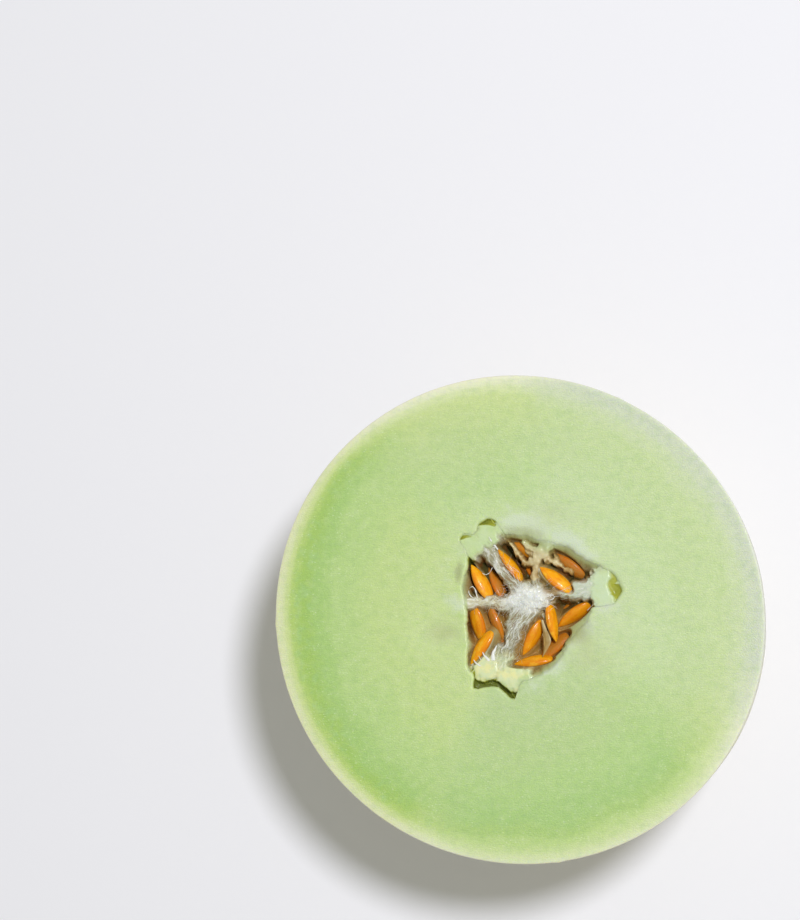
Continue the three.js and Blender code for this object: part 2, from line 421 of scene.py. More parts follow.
class StageSettings(bpy.types.PropertyGroup):
    """The floor, the lights and the camera"""
    floor: FloatVectorProperty(
        name="Floor", description="Colour of the floor",
        subtype="COLOR", min=0, max=1, default=srgb(241, 241, 243))
    key: FloatProperty(
        name="Key light", description="Power of the soft key light, in watts",
        min=0, max=200, default=26)
    fill: FloatProperty(
        name="Fill light", description="Strength of the white surroundings",
        min=0, max=5, default=0.36)
    lens: FloatProperty(
        name="Lens", description="Focal length of the camera, in mm",
        min=10, max=400, default=120)


# ---- Melon half ----

AROUND = 420  # vertices in each ring of the melon
BOWL_RINGS = 5  # rings over the cavity's bottom, then up its wall, round its lip and so on outwards
WALL_RINGS = 40
LIP_RINGS = 9
FACE_RINGS = 76
RIM_RINGS = 4
DOME_RINGS = 84
FLAT_RINGS = 10
CAVITY_MIDDLE = np.array([4.0, 4.0])  # mm, the point that the cavity's wall is measured from
CAVITY_REACH = 40.0  # nothing of the cavity lies further than this from its middle, mm
WALL_DEPTH = 0.62 * CUT_Z  # the wall's shape is read down to here, mm
LEVEL_POINTS = 20  # fewer vertices of the solid than this at one depth are no level of its wall
WALL_FLARE = 0.25  # the wall bulges out at most this far past its radius at FLARE_DEPTH, mm
FLARE_DEPTH = 1.6
RIM_ROUNDING = 0.35  # radius of the cut edge of the skin, mm
SCAR_RADIUS = 4.6  # of the corky blossom scar, mm
NICKS = [(181.0, 1.6, 0.5), (280.0, 1.3, 0.45), (64.0, 1.0, 0.3)]  # degrees, width and reach in mm

# How round the cavity's edge has become, as (degrees about its middle, radius in mm). It stays
# sharpest at the lower left, and the top and lower right have slumped the most.
LIP_RADII = [
    (0, 1.3), (8, 1.6), (20, 1.6), (30, 2.0), (55, 3.0), (85, 2.2), (104, 1.2), (112, 1.0),
    (140, 1.0), (155, 1.1), (222, 1.1), (236, 0.9), (262, 0.9), (278, 1.6), (305, 3.0), (335, 2.6),
    (350, 1.3), (360, 1.3),
]

# How far the flesh has swollen into the clefts of the three corners, as (degrees, mm), and the
# depths between which the swelling fades out.
CLEFT_SWELLS = [
    (0, 0.9), (4, 1.5), (20, 1.5), (28, 0.0), (104, 0.0), (113, 0.45), (141, 0.45), (152, 0.0),
    (228, 0.0), (236, 0.4), (262, 0.4), (272, 0.0), (352, 0.0), (360, 0.9),
]
SWELL_TOP, SWELL_END = 3.0, 9.0

# How steeply the tissue by the wall falls from the cavity's edge, as (degrees, mm per mm).
SHELF_SLOPES = [
    (0, 1.2), (20, 0.9), (40, 0.75), (70, 0.8), (95, 1.0), (110, 1.4), (135, 1.8), (150, 1.7),
    (232, 1.7), (260, 1.6), (285, 0.8), (298, 0.45), (340, 0.4), (352, 0.8), (360, 1.2),
]

# Shallow dips and swells of the cut face: middle, size along X and Y, and height, in mm.
FACE_DIPS = [
    ((-23, -4.5), (9.0, 4.5), -0.6),
    ((-20, 8), (7.0, 8.0), -0.25),
    ((9, 31), (15.0, 6.0), -0.45),
    ((-17, -19), (7.0, 7.0), 0.3),
    ((20, -13), (9.0, 6.0), -0.5),
    ((18.8, -5.0), (4.5, 3.4), -0.7),
    ((2.5, 26.0), (6.0, 2.0), -0.35),
]


def about_middle(points):
    """How far points lie from the cavity's middle, and in which direction, in radians."""
    reach = points[:, :2] - CAVITY_MIDDLE
    turn = np.arctan2(reach[:, 1], reach[:, 0]) % (2 * math.pi)
    return np.hypot(reach[:, 0], reach[:, 1]), turn


class CavityWall:
    """The cavity's wall in the CAD solid, as a radius for each direction and depth."""

    def __init__(self, angles):
        points = node_points("melon_half")
        radius, turn = about_middle(points)
        inside = radius < CAVITY_REACH
        points, radius, turn = points[inside], radius[inside], turn[inside]
        down = np.round(CUT_Z - points[:, 2], 2)
        self.depths, table = [], []
        for depth in np.unique(down):
            level = down == depth
            if depth < -0.01 or depth > WALL_DEPTH or level.sum() < LEVEL_POINTS:
                continue
            order = np.argsort(turn[level])
            table.append(np.interp(
                angles, turn[level][order], radius[level][order], period=2 * math.pi))
            self.depths.append(depth)
        self.depths = np.array(self.depths)
        self.table = np.array(table)
        edge = around_middle(CAVITY_MIDDLE, angles, self.table[0], CUT_Z)
        self.table += 0.4 * noise_at(edge, 3.4, 61.0, 2) + 0.16 * noise_at(edge, 0.9, 62.0, 2)
        swell = by_direction(CLEFT_SWELLS, np.degrees(angles))
        self.table -= swell * smoothstep(SWELL_END, SWELL_TOP, self.depths)[:, None]

    def radius(self, depth):
        """The radius at one depth, or at a depth of its own for each direction."""
        depth = np.broadcast_to(np.asarray(depth, float), self.table.shape[1:])
        upper = np.clip(np.searchsorted(self.depths, depth), 1, len(self.depths) - 1)
        low, high = self.depths[upper - 1], self.depths[upper]
        share = np.clip((depth - low) / (high - low), 0, 1)
        column = np.arange(self.table.shape[1])
        return self.table[upper - 1, column] * (1 - share) + self.table[upper, column] * share


class Outline:
    """The oval outline of the melon at the cut, from the CAD solid's vertices there."""

    def __init__(self):
        points = node_points("melon_half")
        radius = np.hypot(points[:, 0], points[:, 1])
        rim = (points[:, 2] > CUT_Z - 0.01) & (radius > CAVITY_REACH + 20)
        points, radius = points[rim], radius[rim]
        longest = points[radius.argmax()]
        self.half_length, self.half_width = radius.max(), radius.min()
        self.turn = math.atan2(longest[1], longest[0])

    def radius(self, angles):
        """The outline's radius in each direction."""
        own = angles - self.turn
        return 1 / np.hypot(np.cos(own) / self.half_length, np.sin(own) / self.half_width)

    def share(self, points):
        """How far out points are, as a share of the outline's radius in their direction."""
        return np.hypot(points[:, 0], points[:, 1]) / self.radius(np.arctan2(points[:, 1], points[:, 0]))


def around_middle(middle, angles, radius, z):
    """A ring of points about a middle, at one radius and height or at one for each."""
    return np.stack([
        middle[0] + radius * np.cos(angles), middle[1] + radius * np.sin(angles),
        np.broadcast_to(z, angles.shape)], 1)


def cavity_rings(angles):
    """Rings over the cavity's bottom, up its wall and round its lip, each as its kind and points."""
    wall = CavityWall(angles)
    lip = by_direction(LIP_RADII, np.degrees(angles))
    bottom = wall.depths[-1]
    flared = wall.radius(FLARE_DEPTH) + WALL_FLARE

    def ring(kind, radius, depth):
        return kind, around_middle(CAVITY_MIDDLE, angles, radius, CUT_Z - depth)

    for share in np.linspace(0.15, 0.9, BOWL_RINGS):
        yield ring("wall", share * wall.radius(bottom), bottom)
    for share in np.linspace(0, 1, WALL_RINGS, endpoint=False):
        depth = bottom + (lip - bottom) * share ** 0.8
        yield ring("wall", np.minimum(wall.radius(depth), flared), depth)
    for swing in np.linspace(0, math.pi / 2, LIP_RINGS):
        radius = np.minimum(wall.radius(lip), flared) + lip * (1 - math.cos(swing))
        yield ring("lip", radius, lip * (1 - math.sin(swing)))


def outer_rings(outline, angles, rim):
    """Rings round the rim, down the skin and over the flat, each as its kind and points."""
    outer = outline.radius(angles)
    outward = np.stack([np.cos(angles), np.sin(angles)], 1)
    for swing in np.linspace(0, math.pi / 2, RIM_RINGS + 1)[1:]:
        ring = rim.copy()
        ring[:, :2] += outward * RIM_ROUNDING * math.sin(swing)
        ring[:, 2] -= RIM_ROUNDING * (1 - math.cos(swing))
        yield "rim", ring
    foot = math.asin(flat_radius() / outline.half_length)
    start = math.acos(RIM_ROUNDING / CUT_Z * math.cos(foot))
    for climb in np.linspace(start, foot, DOME_RINGS + 1)[1:]:
        height = CUT_Z * (1 - math.cos(climb) / math.cos(foot))
        yield "skin", around_middle((0, 0), angles, outer * math.sin(climb), height)
    for share in np.linspace(1, 0.08, FLAT_RINGS + 1)[1:]:
        yield "scar", around_middle((0, 0), angles, share * outer * math.sin(foot), 0.0)


def melon_rings(outline):
    """Rings from the cavity's bottom, up its wall, over the cut face and down the outside."""
    angles = np.linspace(0, 2 * math.pi, AROUND, endpoint=False)
    rows = list(cavity_rings(angles))
    edge = rows[-1][1]
    rim = around_middle((0, 0), angles, outline.radius(angles) - RIM_ROUNDING, CUT_Z)
    for share in np.linspace(0, 1, FACE_RINGS + 1)[1:]:
        rows.append(("face", edge * (1 - share) + rim * share))
    rows += outer_rings(outline, angles, rim)
    kinds, rings = zip(*rows)
    return np.array(rings), kinds


def flat_radius():
    """The flat at the blossom end, from the CAD solid's lowest points."""
    points = node_points("melon_half")
    lowest = points[points[:, 2] < 0.01]
    return np.abs(lowest[:, 0]).max()


def face_relief(points, wave):
    """Height of the cut face's waves, dips and knife marks at points in mm."""
    height = wave * noise_at(points, 14.0, 3.1) + 0.04 * noise_at(points * [0.4, 1, 1], 1.6, 8.2)
    for (x, y), (wide, deep), rise in FACE_DIPS:
        distance = ((points[:, 0] - x) / wide) ** 2 + ((points[:, 1] - y) / deep) ** 2
        height += rise * np.exp(-distance)
    return height


# Where the flesh beside the cavity is whitish, as (x, y, half length, half width, turn, strength): partly
# paler flesh there and partly a painted sheen of the wet face, most at the top and on the right.
PALE_AND_SHEEN_SPOTS = [
    (3, 27.5, 9, 4.2, -12, 1.0), (17, 21.5, 9, 3.6, -34, 1.0), (26, 3.5, 5, 2.6, -10, 0.7),
    (17.5, -5.5, 8, 3.4, 48, 0.9), (11, -14.5, 7, 3.0, 38, 0.8), (5, -21, 5, 2.2, 30, 0.5),
    (-18.5, 4.5, 3.6, 2.8, 0, 0.75), (-20.0, 14.5, 2.2, 5.5, 0, 0.4), (-17.5, 21.5, 3.0, 3.0, 0, 0.35),
]

# Painted shade where the flesh has slumped by the cavity, given the same way.
SLUMP_SHADE_SPOTS = [
    (2.5, 25.4, 6.4, 1.7, -10, 0.9), (18.4, -4.2, 5.4, 2.6, 44, 0.7), (14.0, -10.0, 3.6, 1.8, 50, 0.4),
    (25.0, 15.4, 4.0, 1.6, -24, 0.5), (-17.4, 13.8, 1.3, 3.4, 0, 0.8),
]


def spotted(points, spots):
    """How strongly soft oval spots cover each point, from 0 to 1."""
    total = np.zeros(len(points))
    for x, y, long, wide, turn, strength in spots:
        across = turned(points[:, :2] - [x, y], turn) / [long, wide]
        total = np.maximum(total, strength * np.exp(-0.7 * (across ** 2).sum(1)))
    return total


def nearness(points, paths):
    """1 on the paths of crevices, falling to 0 some mm away."""
    near = np.zeros(len(points))
    close = about_middle(points)[0] < CAVITY_REACH
    for path in paths:
        gap, _, half, *_ = along_path(points[close], path)
        near[close] = np.maximum(near[close], smoothstep(1.6, 0.5, gap - half))
    return near


def store_flesh(mesh, outline):
    """The values that the flesh's colours read."""
    points = mesh_coords(mesh) / MM
    degrees = np.degrees(np.arctan2(points[:, 1], points[:, 0])) % 360
    depth = outline.half_width * (1 - outline.share(points))
    near_rind = smoothstep(30, 8, depth)
    haste = 1 + (by_direction(RIND_HASTE, degrees) - 1) * near_rind
    store(mesh, "skin_depth", depth * haste)
    for name, rows in BAND_SHARES.items():
        store(mesh, name, by_direction(rows, degrees))
    store(mesh, "pale", spotted(points, PALE_AND_SHEEN_SPOTS))
    store(mesh, "slump_shade", spotted(points, SLUMP_SHADE_SPOTS))
    store(mesh, "cleft", nearness(points, CREVICES))


def roughen_ring(ring, kind, outline, wave):
    """Gives one ring of the melon the waves, bumps or crust of the kind of surface it lies in."""
    if kind in ("face", "lip"):
        fade = smoothstep(0, 4, outline.half_width * (1 - outline.share(ring)))
        ring[:, 2] += np.minimum(face_relief(ring, wave) * fade, 0.0)
    elif kind == "wall":
        spread = noise_at(ring, 4.0, 5.5)
        reach = ring[:, :2] - CAVITY_MIDDLE
        reach /= np.hypot(reach[:, 0], reach[:, 1])[:, None]
        ring[:, :2] += reach * (0.3 + 0.3 * spread)[:, None]
    elif kind == "skin":
        direction = ring - [0, 0, CUT_Z]
        direction /= np.linalg.norm(direction, axis=1)[:, None]
        fade = smoothstep(0, 8, ring[:, 2])
        sway = 0.22 * noise_at(ring, 26.0, 9.4, 2) + 0.03 * noise_at(ring, 3.5, 2.2)
        ring += direction * ((sway - 0.2) * fade)[:, None]
    elif kind == "scar":
        share = np.hypot(ring[:, 0], ring[:, 1]) / SCAR_RADIUS
        lift = 0.5 * smoothstep(1.15, 0.55, share) - 0.25 * np.exp(-((share - 1.0) / 0.12) ** 2)
        crust = noise_at(ring, 0.9, 4.4) * 0.12 * smoothstep(1.2, 0.9, share)
        ring[:, 2] += np.maximum(lift + crust + 0.02, 0.0)


def nick_rim(rim, half_width):
    """Little flaps of skin that the knife left along the rim's rings."""
    turn = np.degrees(np.arctan2(rim[0][:, 1], rim[0][:, 0])) % 360
    for degrees, wide, reach in NICKS:
        gap = np.radians((turn - degrees + 180) % 360 - 180) * half_width
        flap = reach * np.exp(-(gap / wide) ** 2)
        for ring in rim:
            direction = ring[:, :2] / np.hypot(*ring[:, :2].T)[:, None]
            ring[:, :2] += direction * (flap * 0.5)[:, None]
            ring[:, 2] -= 0.2 * flap


def melon_mesh(settings):
    """The whole half: cavity wall, cut face, rim, skin and scar, as one closed mesh."""
    outline = Outline()
    rings, kinds = melon_rings(outline)
    for ring, kind in zip(rings, kinds):
        roughen_ring(ring, kind, outline, settings.wave)
    nick_rim([ring for ring, kind in zip(rings, kinds) if kind == "rim"], outline.half_width)
    mesh = ring_mesh("melon_half_dressed", rings)
    points = mesh_coords(mesh) / MM
    store_flesh(mesh, outline)
    store(mesh, "down", CUT_Z - points[:, 2])
    skin = np.zeros(len(mesh.polygons), np.int32)
    skin[kinds.index("rim") * AROUND:(len(kinds) - 1) * AROUND] = 1
    skin[-AROUND:] = 1
    mesh.polygons.foreach_set("material_index", skin)
    face_outwards(mesh)
    return mesh


# Colours of the cut face from the skin inwards, as (mm, red, green, blue), for four sides of it. The
# sides differ partly by painted light: the top band is lighter with a painted sheen, and the right band
# is greyer by the rim with painted shade.
FLESH_BANDS = {
    "right": [(0.4, 204, 211, 192), (1.8, 202, 210, 188), (4, 203, 213, 184), (7, 201, 215, 171),
              (12, 196, 214, 159), (20, 194, 213, 158), (30, 197, 216, 164), (46, 200, 216, 168)],
    "top": [(0.4, 232, 233, 204), (1.8, 226, 230, 197), (4, 213, 224, 172), (7, 201, 217, 151),
            (12, 196, 214, 149), (20, 190, 211, 149), (30, 187, 211, 148), (46, 196, 215, 158)],
    "left": [(0.4, 220, 224, 184), (2.0, 215, 222, 176), (3.6, 204, 218, 152), (5.8, 180, 206, 117),
             (8.5, 165, 198, 104), (14, 169, 202, 122), (21, 183, 210, 138), (32, 193, 214, 144),
             (46, 197, 215, 150)],
    "low": [(0.4, 216, 224, 188), (1.8, 210, 221, 172), (4, 199, 217, 154), (6.2, 187, 211, 138),
            (9, 173, 202, 124), (14, 170, 202, 128), (21, 178, 207, 136), (32, 183, 207, 143),
            (46, 186, 207, 150)],
}
# How much faster than that the colours change near the rind, as (degrees, times).
RIND_HASTE = [
    (0, 1), (90, 1.05), (118, 1.3), (138, 1.6), (160, 1.2), (185, 1.05), (225, 1.25), (262, 1.1),
    (300, 1), (360, 1),
]
# Share of the left, low and right bands in each direction, in degrees; the rest is the top band.
BAND_SHARES = {
    "left": [(0, 0), (110, 0), (142, 0.8), (168, 1), (232, 1), (262, 0), (360, 0)],
    "low": [(0, 0), (232, 0), (264, 1), (306, 1), (348, 0), (360, 0)],
    "right": [(0, 1), (66, 1), (100, 0), (316, 0), (358, 1), (360, 1)],
}


def banded_flesh(shader, depth):
    """The cut face's colours from the skin inwards, with wandering bounds."""
    broad = shader.noise(17.0, detail=2.0)
    patch = shader.noise(5.0, detail=3.0)
    warp = shader.math("ADD", shader.math("MULTIPLY_ADD", broad, 9.0, -4.5),
                       shader.math("MULTIPLY_ADD", patch, 6.0, -3.0))
    warp = shader.math("MULTIPLY", warp, shader.remap(depth, 2.5, 12.0))
    warped = shader.math("MAXIMUM", shader.math("ADD", depth, warp), 0.0)
    bands = {
        name: shader.ramp(warped, 50.0, [(place, srgb(*colour)) for place, *colour in rows])
        for name, rows in FLESH_BANDS.items()}
    colour = bands["top"]
    wander = shader.math("MULTIPLY_ADD", shader.noise(9.0, detail=2.0), 0.5, -0.25)
    for name in BAND_SHARES:
        share = shader.math("ADD", shader.attribute(name), wander)
        colour = shader.mix(shader.remap(share, 0.15, 0.85), colour, bands[name])
    return colour


def flesh_colours(shader, settings):
    """The cut face's bands of colour, with its mottling and painted sparkle, its pale parts with a
    painted sheen, and painted shade where it has slumped.
    """
    depth = shader.attribute("skin_depth")
    colour = banded_flesh(shader, depth)
    cool = shader.remap(shader.noise(3.6, detail=3.0), 0.48, 0.68, 0.0, 0.7)
    cool = shader.math("MULTIPLY", cool, shader.remap(depth, 17.0, 9.0))
    cool = shader.math("MULTIPLY", cool, shader.remap(depth, 4.0, 7.0))
    green = tuple(settings.flesh_green)
    colour = shader.mix(shader.math("MULTIPLY", cool, shader.attribute("left")), colour, green)
    mottle = shader.noise((1.1, 0.55, 1.1), detail=4.0, roughness=0.62)
    mottle = shader.remap(mottle, 0.3, 0.72, 0.0, 0.42)
    colour = shader.mix(mottle, colour, srgb(222, 232, 190), "SOFT_LIGHT")
    blotch = shader.noise((3.0, 2.4, 3.0), detail=2.0)
    colour = shader.mix(shader.remap(blotch, 0.46, 0.7, 0.0, 0.15), colour, srgb(150, 190, 110))
    colour = shader.mix(shader.remap(blotch, 0.5, 0.28, 0.0, 0.12), colour, srgb(222, 234, 188))
    # Pale flecks of the flesh's cells, partly a painted sparkle of the wet face.
    flecks_and_sparkle = shader.remap(shader.cells((1.3, 0.8, 1.3)), 0.04, 0.3, 1.0, 0.0)
    where = shader.remap(shader.noise(5.0, detail=2.0), 0.38, 0.6)
    colour = shader.mix(shader.math("MULTIPLY", shader.math("MULTIPLY", flecks_and_sparkle, where), 0.45),
                        colour, srgb(228, 240, 200))
    cloud = shader.noise(3.2, detail=4.0, roughness=0.6)
    # Whitish flesh by the cavity: partly its own colour and partly a painted sheen.
    pale = shader.math("ADD", shader.attribute("pale"), shader.math("MULTIPLY_ADD", cloud, 1.4, -0.7))
    pale = shader.math("MULTIPLY", shader.remap(pale, 0.2, 0.9), 0.8)
    colour = shader.mix(pale, colour, tuple(settings.flesh_inner))
    # Painted shade where the flesh has slumped by the cavity.
    slump_shade = shader.math("ADD", shader.attribute("slump_shade"), shader.math("MULTIPLY_ADD", cloud, 0.8, -0.4))
    slump_shade = shader.math("MULTIPLY", shader.remap(slump_shade, 0.15, 0.9), 0.7)
    return shader.mix(slump_shade, colour, srgb(160, 168, 116))


def beside_cavity(shader, settings, down):
    """The flesh's colours, which turn brown down the cavity's edge and olive in the clefts, darker the
    deeper they lie: partly the brown of juice and partly painted shade.
    """
    # Darker with depth down the edge and in the clefts: painted shade, partly with the brown of juice.
    soft = shader.ramp(down, 6.0, [
        (0.0, srgb(200, 212, 166)), (1.0, srgb(178, 186, 130)), (2.2, srgb(156, 148, 90)),
        (3.6, srgb(132, 104, 54)), (5.6, srgb(108, 76, 36))])
    green = shader.ramp(down, 6.0, [
        (0.0, srgb(190, 204, 116)), (0.9, srgb(172, 176, 60)), (2.2, tuple(settings.cleft_shade)),
        (5.0, srgb(88, 98, 42))])
    edge = shader.mix(shader.attribute("cleft"), soft, green)
    return shader.mix(shader.remap(down, 0.12, 1.1), flesh_colours(shader, settings), edge)


def flesh_material(settings):
    """Moist cut flesh with a fine grain."""
    shader = Shader("cut_flesh")
    colour = beside_cavity(shader, settings, shader.attribute("down"))
    streaks = shader.noise((3.2, 0.28, 1.0), detail=3.0)
    grain = shader.noise(0.42, detail=3.0, roughness=0.6)
    height = shader.math("ADD", shader.math("MULTIPLY", streaks, 0.45), grain)
    normal = shader.bump(height, 0.2, 0.7)
    roughness = shader.remap(shader.noise(0.7, detail=2.0), 0.3, 0.7, 0.3, 0.52)
    shader.set(Subsurface_Weight=0.55, Subsurface_Scale=0.0026, Subsurface_Radius=(0.9, 1.0, 0.45),
               Specular_IOR_Level=0.45, Coat_Weight=0.12, Coat_Roughness=0.2)
    return shader.finish(colour, roughness, normal)


def skin_material(settings):
    """Waxy skin with faint pores, greener by the cut, and the corky scar."""
    shader = Shader("waxy_skin")
    skin, warm = tuple(settings.skin), tuple(settings.skin_warm)
    patch = shader.remap(shader.noise(38.0, detail=3.0, distortion=0.6), 0.42, 0.72)
    colour = shader.mix(shader.math("MULTIPLY", patch, 0.6), skin, warm)
    cloud = shader.noise(7.0, detail=4.0)
    colour = shader.mix(shader.remap(cloud, 0.35, 0.7, 0.0, 0.25), colour, srgb(224, 226, 196))
    pores = shader.remap(shader.cells(1.3), 0.02, 0.16, 1.0, 0.0)
    colour = shader.mix(shader.math("MULTIPLY", pores, 0.1), colour, srgb(200, 192, 150))
    near_cut = shader.remap(shader.attribute("down"), 1.0, 17.0, 1.0, 0.0)
    colour = shader.mix(shader.math("MULTIPLY", near_cut, 0.3), colour, srgb(222, 228, 192))
    # Painted shade: the skin by the cut is greyed on the right.
    right_edge_shade = shader.math("MULTIPLY", near_cut, shader.attribute("right"))
    colour = shader.mix(shader.math("MULTIPLY", right_edge_shade, 0.9), colour, srgb(214, 219, 200))
    x, y, z = shader.xyz()
    squares = shader.math("ADD", shader.math("POWER", x, 2.0), shader.math("POWER", y, 2.0))
    out = shader.math("SQRT", squares)
    wander = shader.math("MULTIPLY_ADD", shader.noise(1.2, detail=3.0), 1.6 * MM, -0.8 * MM)
    from_axis = shader.math("ADD", out, wander)
    cork = shader.remap(from_axis, (SCAR_RADIUS + 0.3) * MM, (SCAR_RADIUS - 0.3) * MM)
    cork = shader.math("MULTIPLY", cork, shader.remap(z, 2.0 * MM, 1.5 * MM))
    corky = shader.mix(shader.noise(0.8, detail=4.0), srgb(150, 122, 80), srgb(203, 180, 132))
    colour = shader.mix(cork, colour, corky)
    fine = shader.noise(0.5, detail=3.0, roughness=0.6)
    swell = shader.math("MULTIPLY", shader.noise(4.0, detail=3.0), 0.6)
    normal = shader.bump(shader.math("MULTIPLY_ADD", fine, 0.25, swell), 0.18, 0.4)
    roughness = shader.remap(shader.noise(3.0, detail=3.0), 0.3, 0.7, 0.4, 0.52)
    shader.set(Subsurface_Weight=0.3, Subsurface_Scale=0.0022, Subsurface_Radius=(1.0, 0.9, 0.5),
               Specular_IOR_Level=0.4, Coat_Weight=0.15, Coat_Roughness=0.35)
    return shader.finish(colour, roughness, normal)


class MELON_OT_half(bpy.types.Operator):
    """Make the melon half: cut flesh with its green band and rind, cavity wall, waxy skin and scar"""
    bl_idname = "melon.make_half"
    bl_label = "Melon Half"

    def execute(self, context):
        settings = context.scene.melon_half
        mesh = melon_mesh(settings)
        piece = put("melon_half_dressed", mesh, flesh_material(settings), skin_material(settings))
        hand_in(piece, "melon_flesh_and_skin", "melon_half")
        return {"FINISHED"}


# ---- Seeds ----

SEED_STATIONS = 44  # steps along a seed
SEED_AROUND = 36  # vertices in each of its rings
SEED_END = 0.004  # the first and last rings lie this share of the length inside its ends
SEED_RANDOM = 40  # the first seed's random numbers start from this
SEED_PLUMPING = 1.08  # a seed's shadow on the tissue is that of a seed this much thicker


def seed_axes(name):
    """A seed's middle, its length, width and thickness directions, and its size, in mm."""
    points = node_points(name)
    middle = points.mean(0)
    _, directions = np.linalg.eigh(np.cov((points - middle).T))
    axes = directions[:, ::-1].T
    local = (points - middle) @ axes.T
    near_end = np.abs(local[:, 0]) > 0.3 * np.ptp(local[:, 0])
    girth = np.hypot(local[:, 1], local[:, 2])
    ahead = girth[near_end & (local[:, 0] > 0)].mean()
    behind = girth[near_end & (local[:, 0] < 0)].mean()
    if ahead > behind:
        axes[0] *= -1
    if axes[2][2] < 0:
        axes[2] *= -1
    axes[1] = np.cross(axes[2], axes[0])
    local = (points - middle) @ axes.T
    centre = middle + ((local.max(0) + local.min(0)) / 2) @ axes
    return centre, axes, np.ptp(local, axis=0)


# How deep and brown the colour of some seeds is, from 0 to 1: partly a browner coat and partly painted
# shade.
BROWNED_AND_SHADED = {
    "seed_02": 0.65, "seed_03": 1.0, "seed_07": 1.0, "seed_08": 0.9, "seed_09": 0.3, "seed_10": 0.75,
    "seed_11": 1.0, "seed_13": 0.3, "seed_16": 0.2, "seed_17": 0.85,
}
# How much of some seeds a torn brownish film covers, from 0 to 1.
VEILED = {
    "seed_02": 0.35, "seed_03": 0.45, "seed_08": 0.4, "seed_10": 0.4, "seed_11": 0.6, "seed_17": 0.4,
    "seed_19": 0.8,
}
# How far some seeds are shown aside from their solids, as (x, y, z) in mm.
SETTLED = {
    "seed_06": (-0.7, 0, 0), "seed_08": (-0.8, 0, 0.8), "seed_09": (-1.0, 0, 0),
    "seed_10": (-0.5, 0, 0.4), "seed_11": (-1.2, 1.0, 2.2), "seed_12": (-0.5, 0, 0),
    "seed_13": (-0.6, 0, 0), "seed_14": (-0.5, 0, 0), "seed_15": (-0.6, 0.4, 0.6),
    "seed_16": (-0.4, 0.3, 0), "seed_17": (-0.2, 0.2, 1.6),
}


def seed_ring(share, size, bend, plump):
    """One ring of a seed in its own frame, at a share of its length from its blunt end."""
    length, width, thickness = size
    around = np.linspace(0, 2 * math.pi, SEED_AROUND, endpoint=False)
    body = math.sin(math.pi * share ** 0.8)
    half_width = 0.45 * width * body ** (0.42 + 0.36 * share)
    half_thickness = 0.62 * thickness * body ** 0.65 * plump
    across = np.cos(around)
    dome = np.sign(np.sin(around)) * np.abs(np.sin(around)) ** 0.82
    groove = 1 - 0.13 * np.exp(-((np.abs(across) - 0.74) / 0.1) ** 2) * min(1, 2.5 * body - 0.8)
    arch = bend * (1 - (2 * share - 1) ** 2)
    return np.stack([
        np.full(SEED_AROUND, (share - 0.5) * length), half_width * across,
        half_thickness * dome * groove + arch], 1)


def seed_mesh(name, index):
    """A flat almond with a raised rim, blunt at its tail and pointed at its tip."""
    centre, axes, size = seed_axes(name)
    centre = centre + SETTLED.get(name, (0, 0, 0))
    draw = np.random.default_rng(SEED_RANDOM + index)
    bend = draw.uniform(-0.25, 0.25)
    plump = draw.uniform(0.92, 1.04)
    swing = math.pi * np.arange(SEED_STATIONS + 1) / SEED_STATIONS
    shares = SEED_END + (1 - 2 * SEED_END) * (1 - np.cos(swing)) / 2
    local = np.array([seed_ring(share, size, bend, plump) for share in shares])
    flat = local.reshape(-1, 3)
    dents = 0.05 * noise_at(flat * [0.5, 1, 1], 1.3, 11.0 + index)
    local[..., 2] += dents.reshape(local.shape[:2])
    mesh = ring_mesh(f"{name}_dressed", local @ axes + centre)
    own = np.vstack([flat, local[0].mean(0), local[-1].mean(0)])
    store_vector(mesh, "seed_place", own + [17.0 * index, 0, 0])
    store(mesh, "seed_rim", np.abs(own[:, 1]) / (size[1] / 2))
    # Seeds lower in the cavity are drawn darker and browner, partly as painted shade.
    sunk = np.clip((CUT_Z - centre[2] - 3.0) / 5.0, 0, 1)
    shade = BROWNED_AND_SHADED.get(name, sunk) + draw.uniform(-0.06, 0.06)
    store(mesh, "seed_brown_and_shade", np.full(len(own), shade))
    store(mesh, "veiled", np.full(len(own), VEILED.get(name, 0.0)))
    face_outwards(mesh)
    return mesh


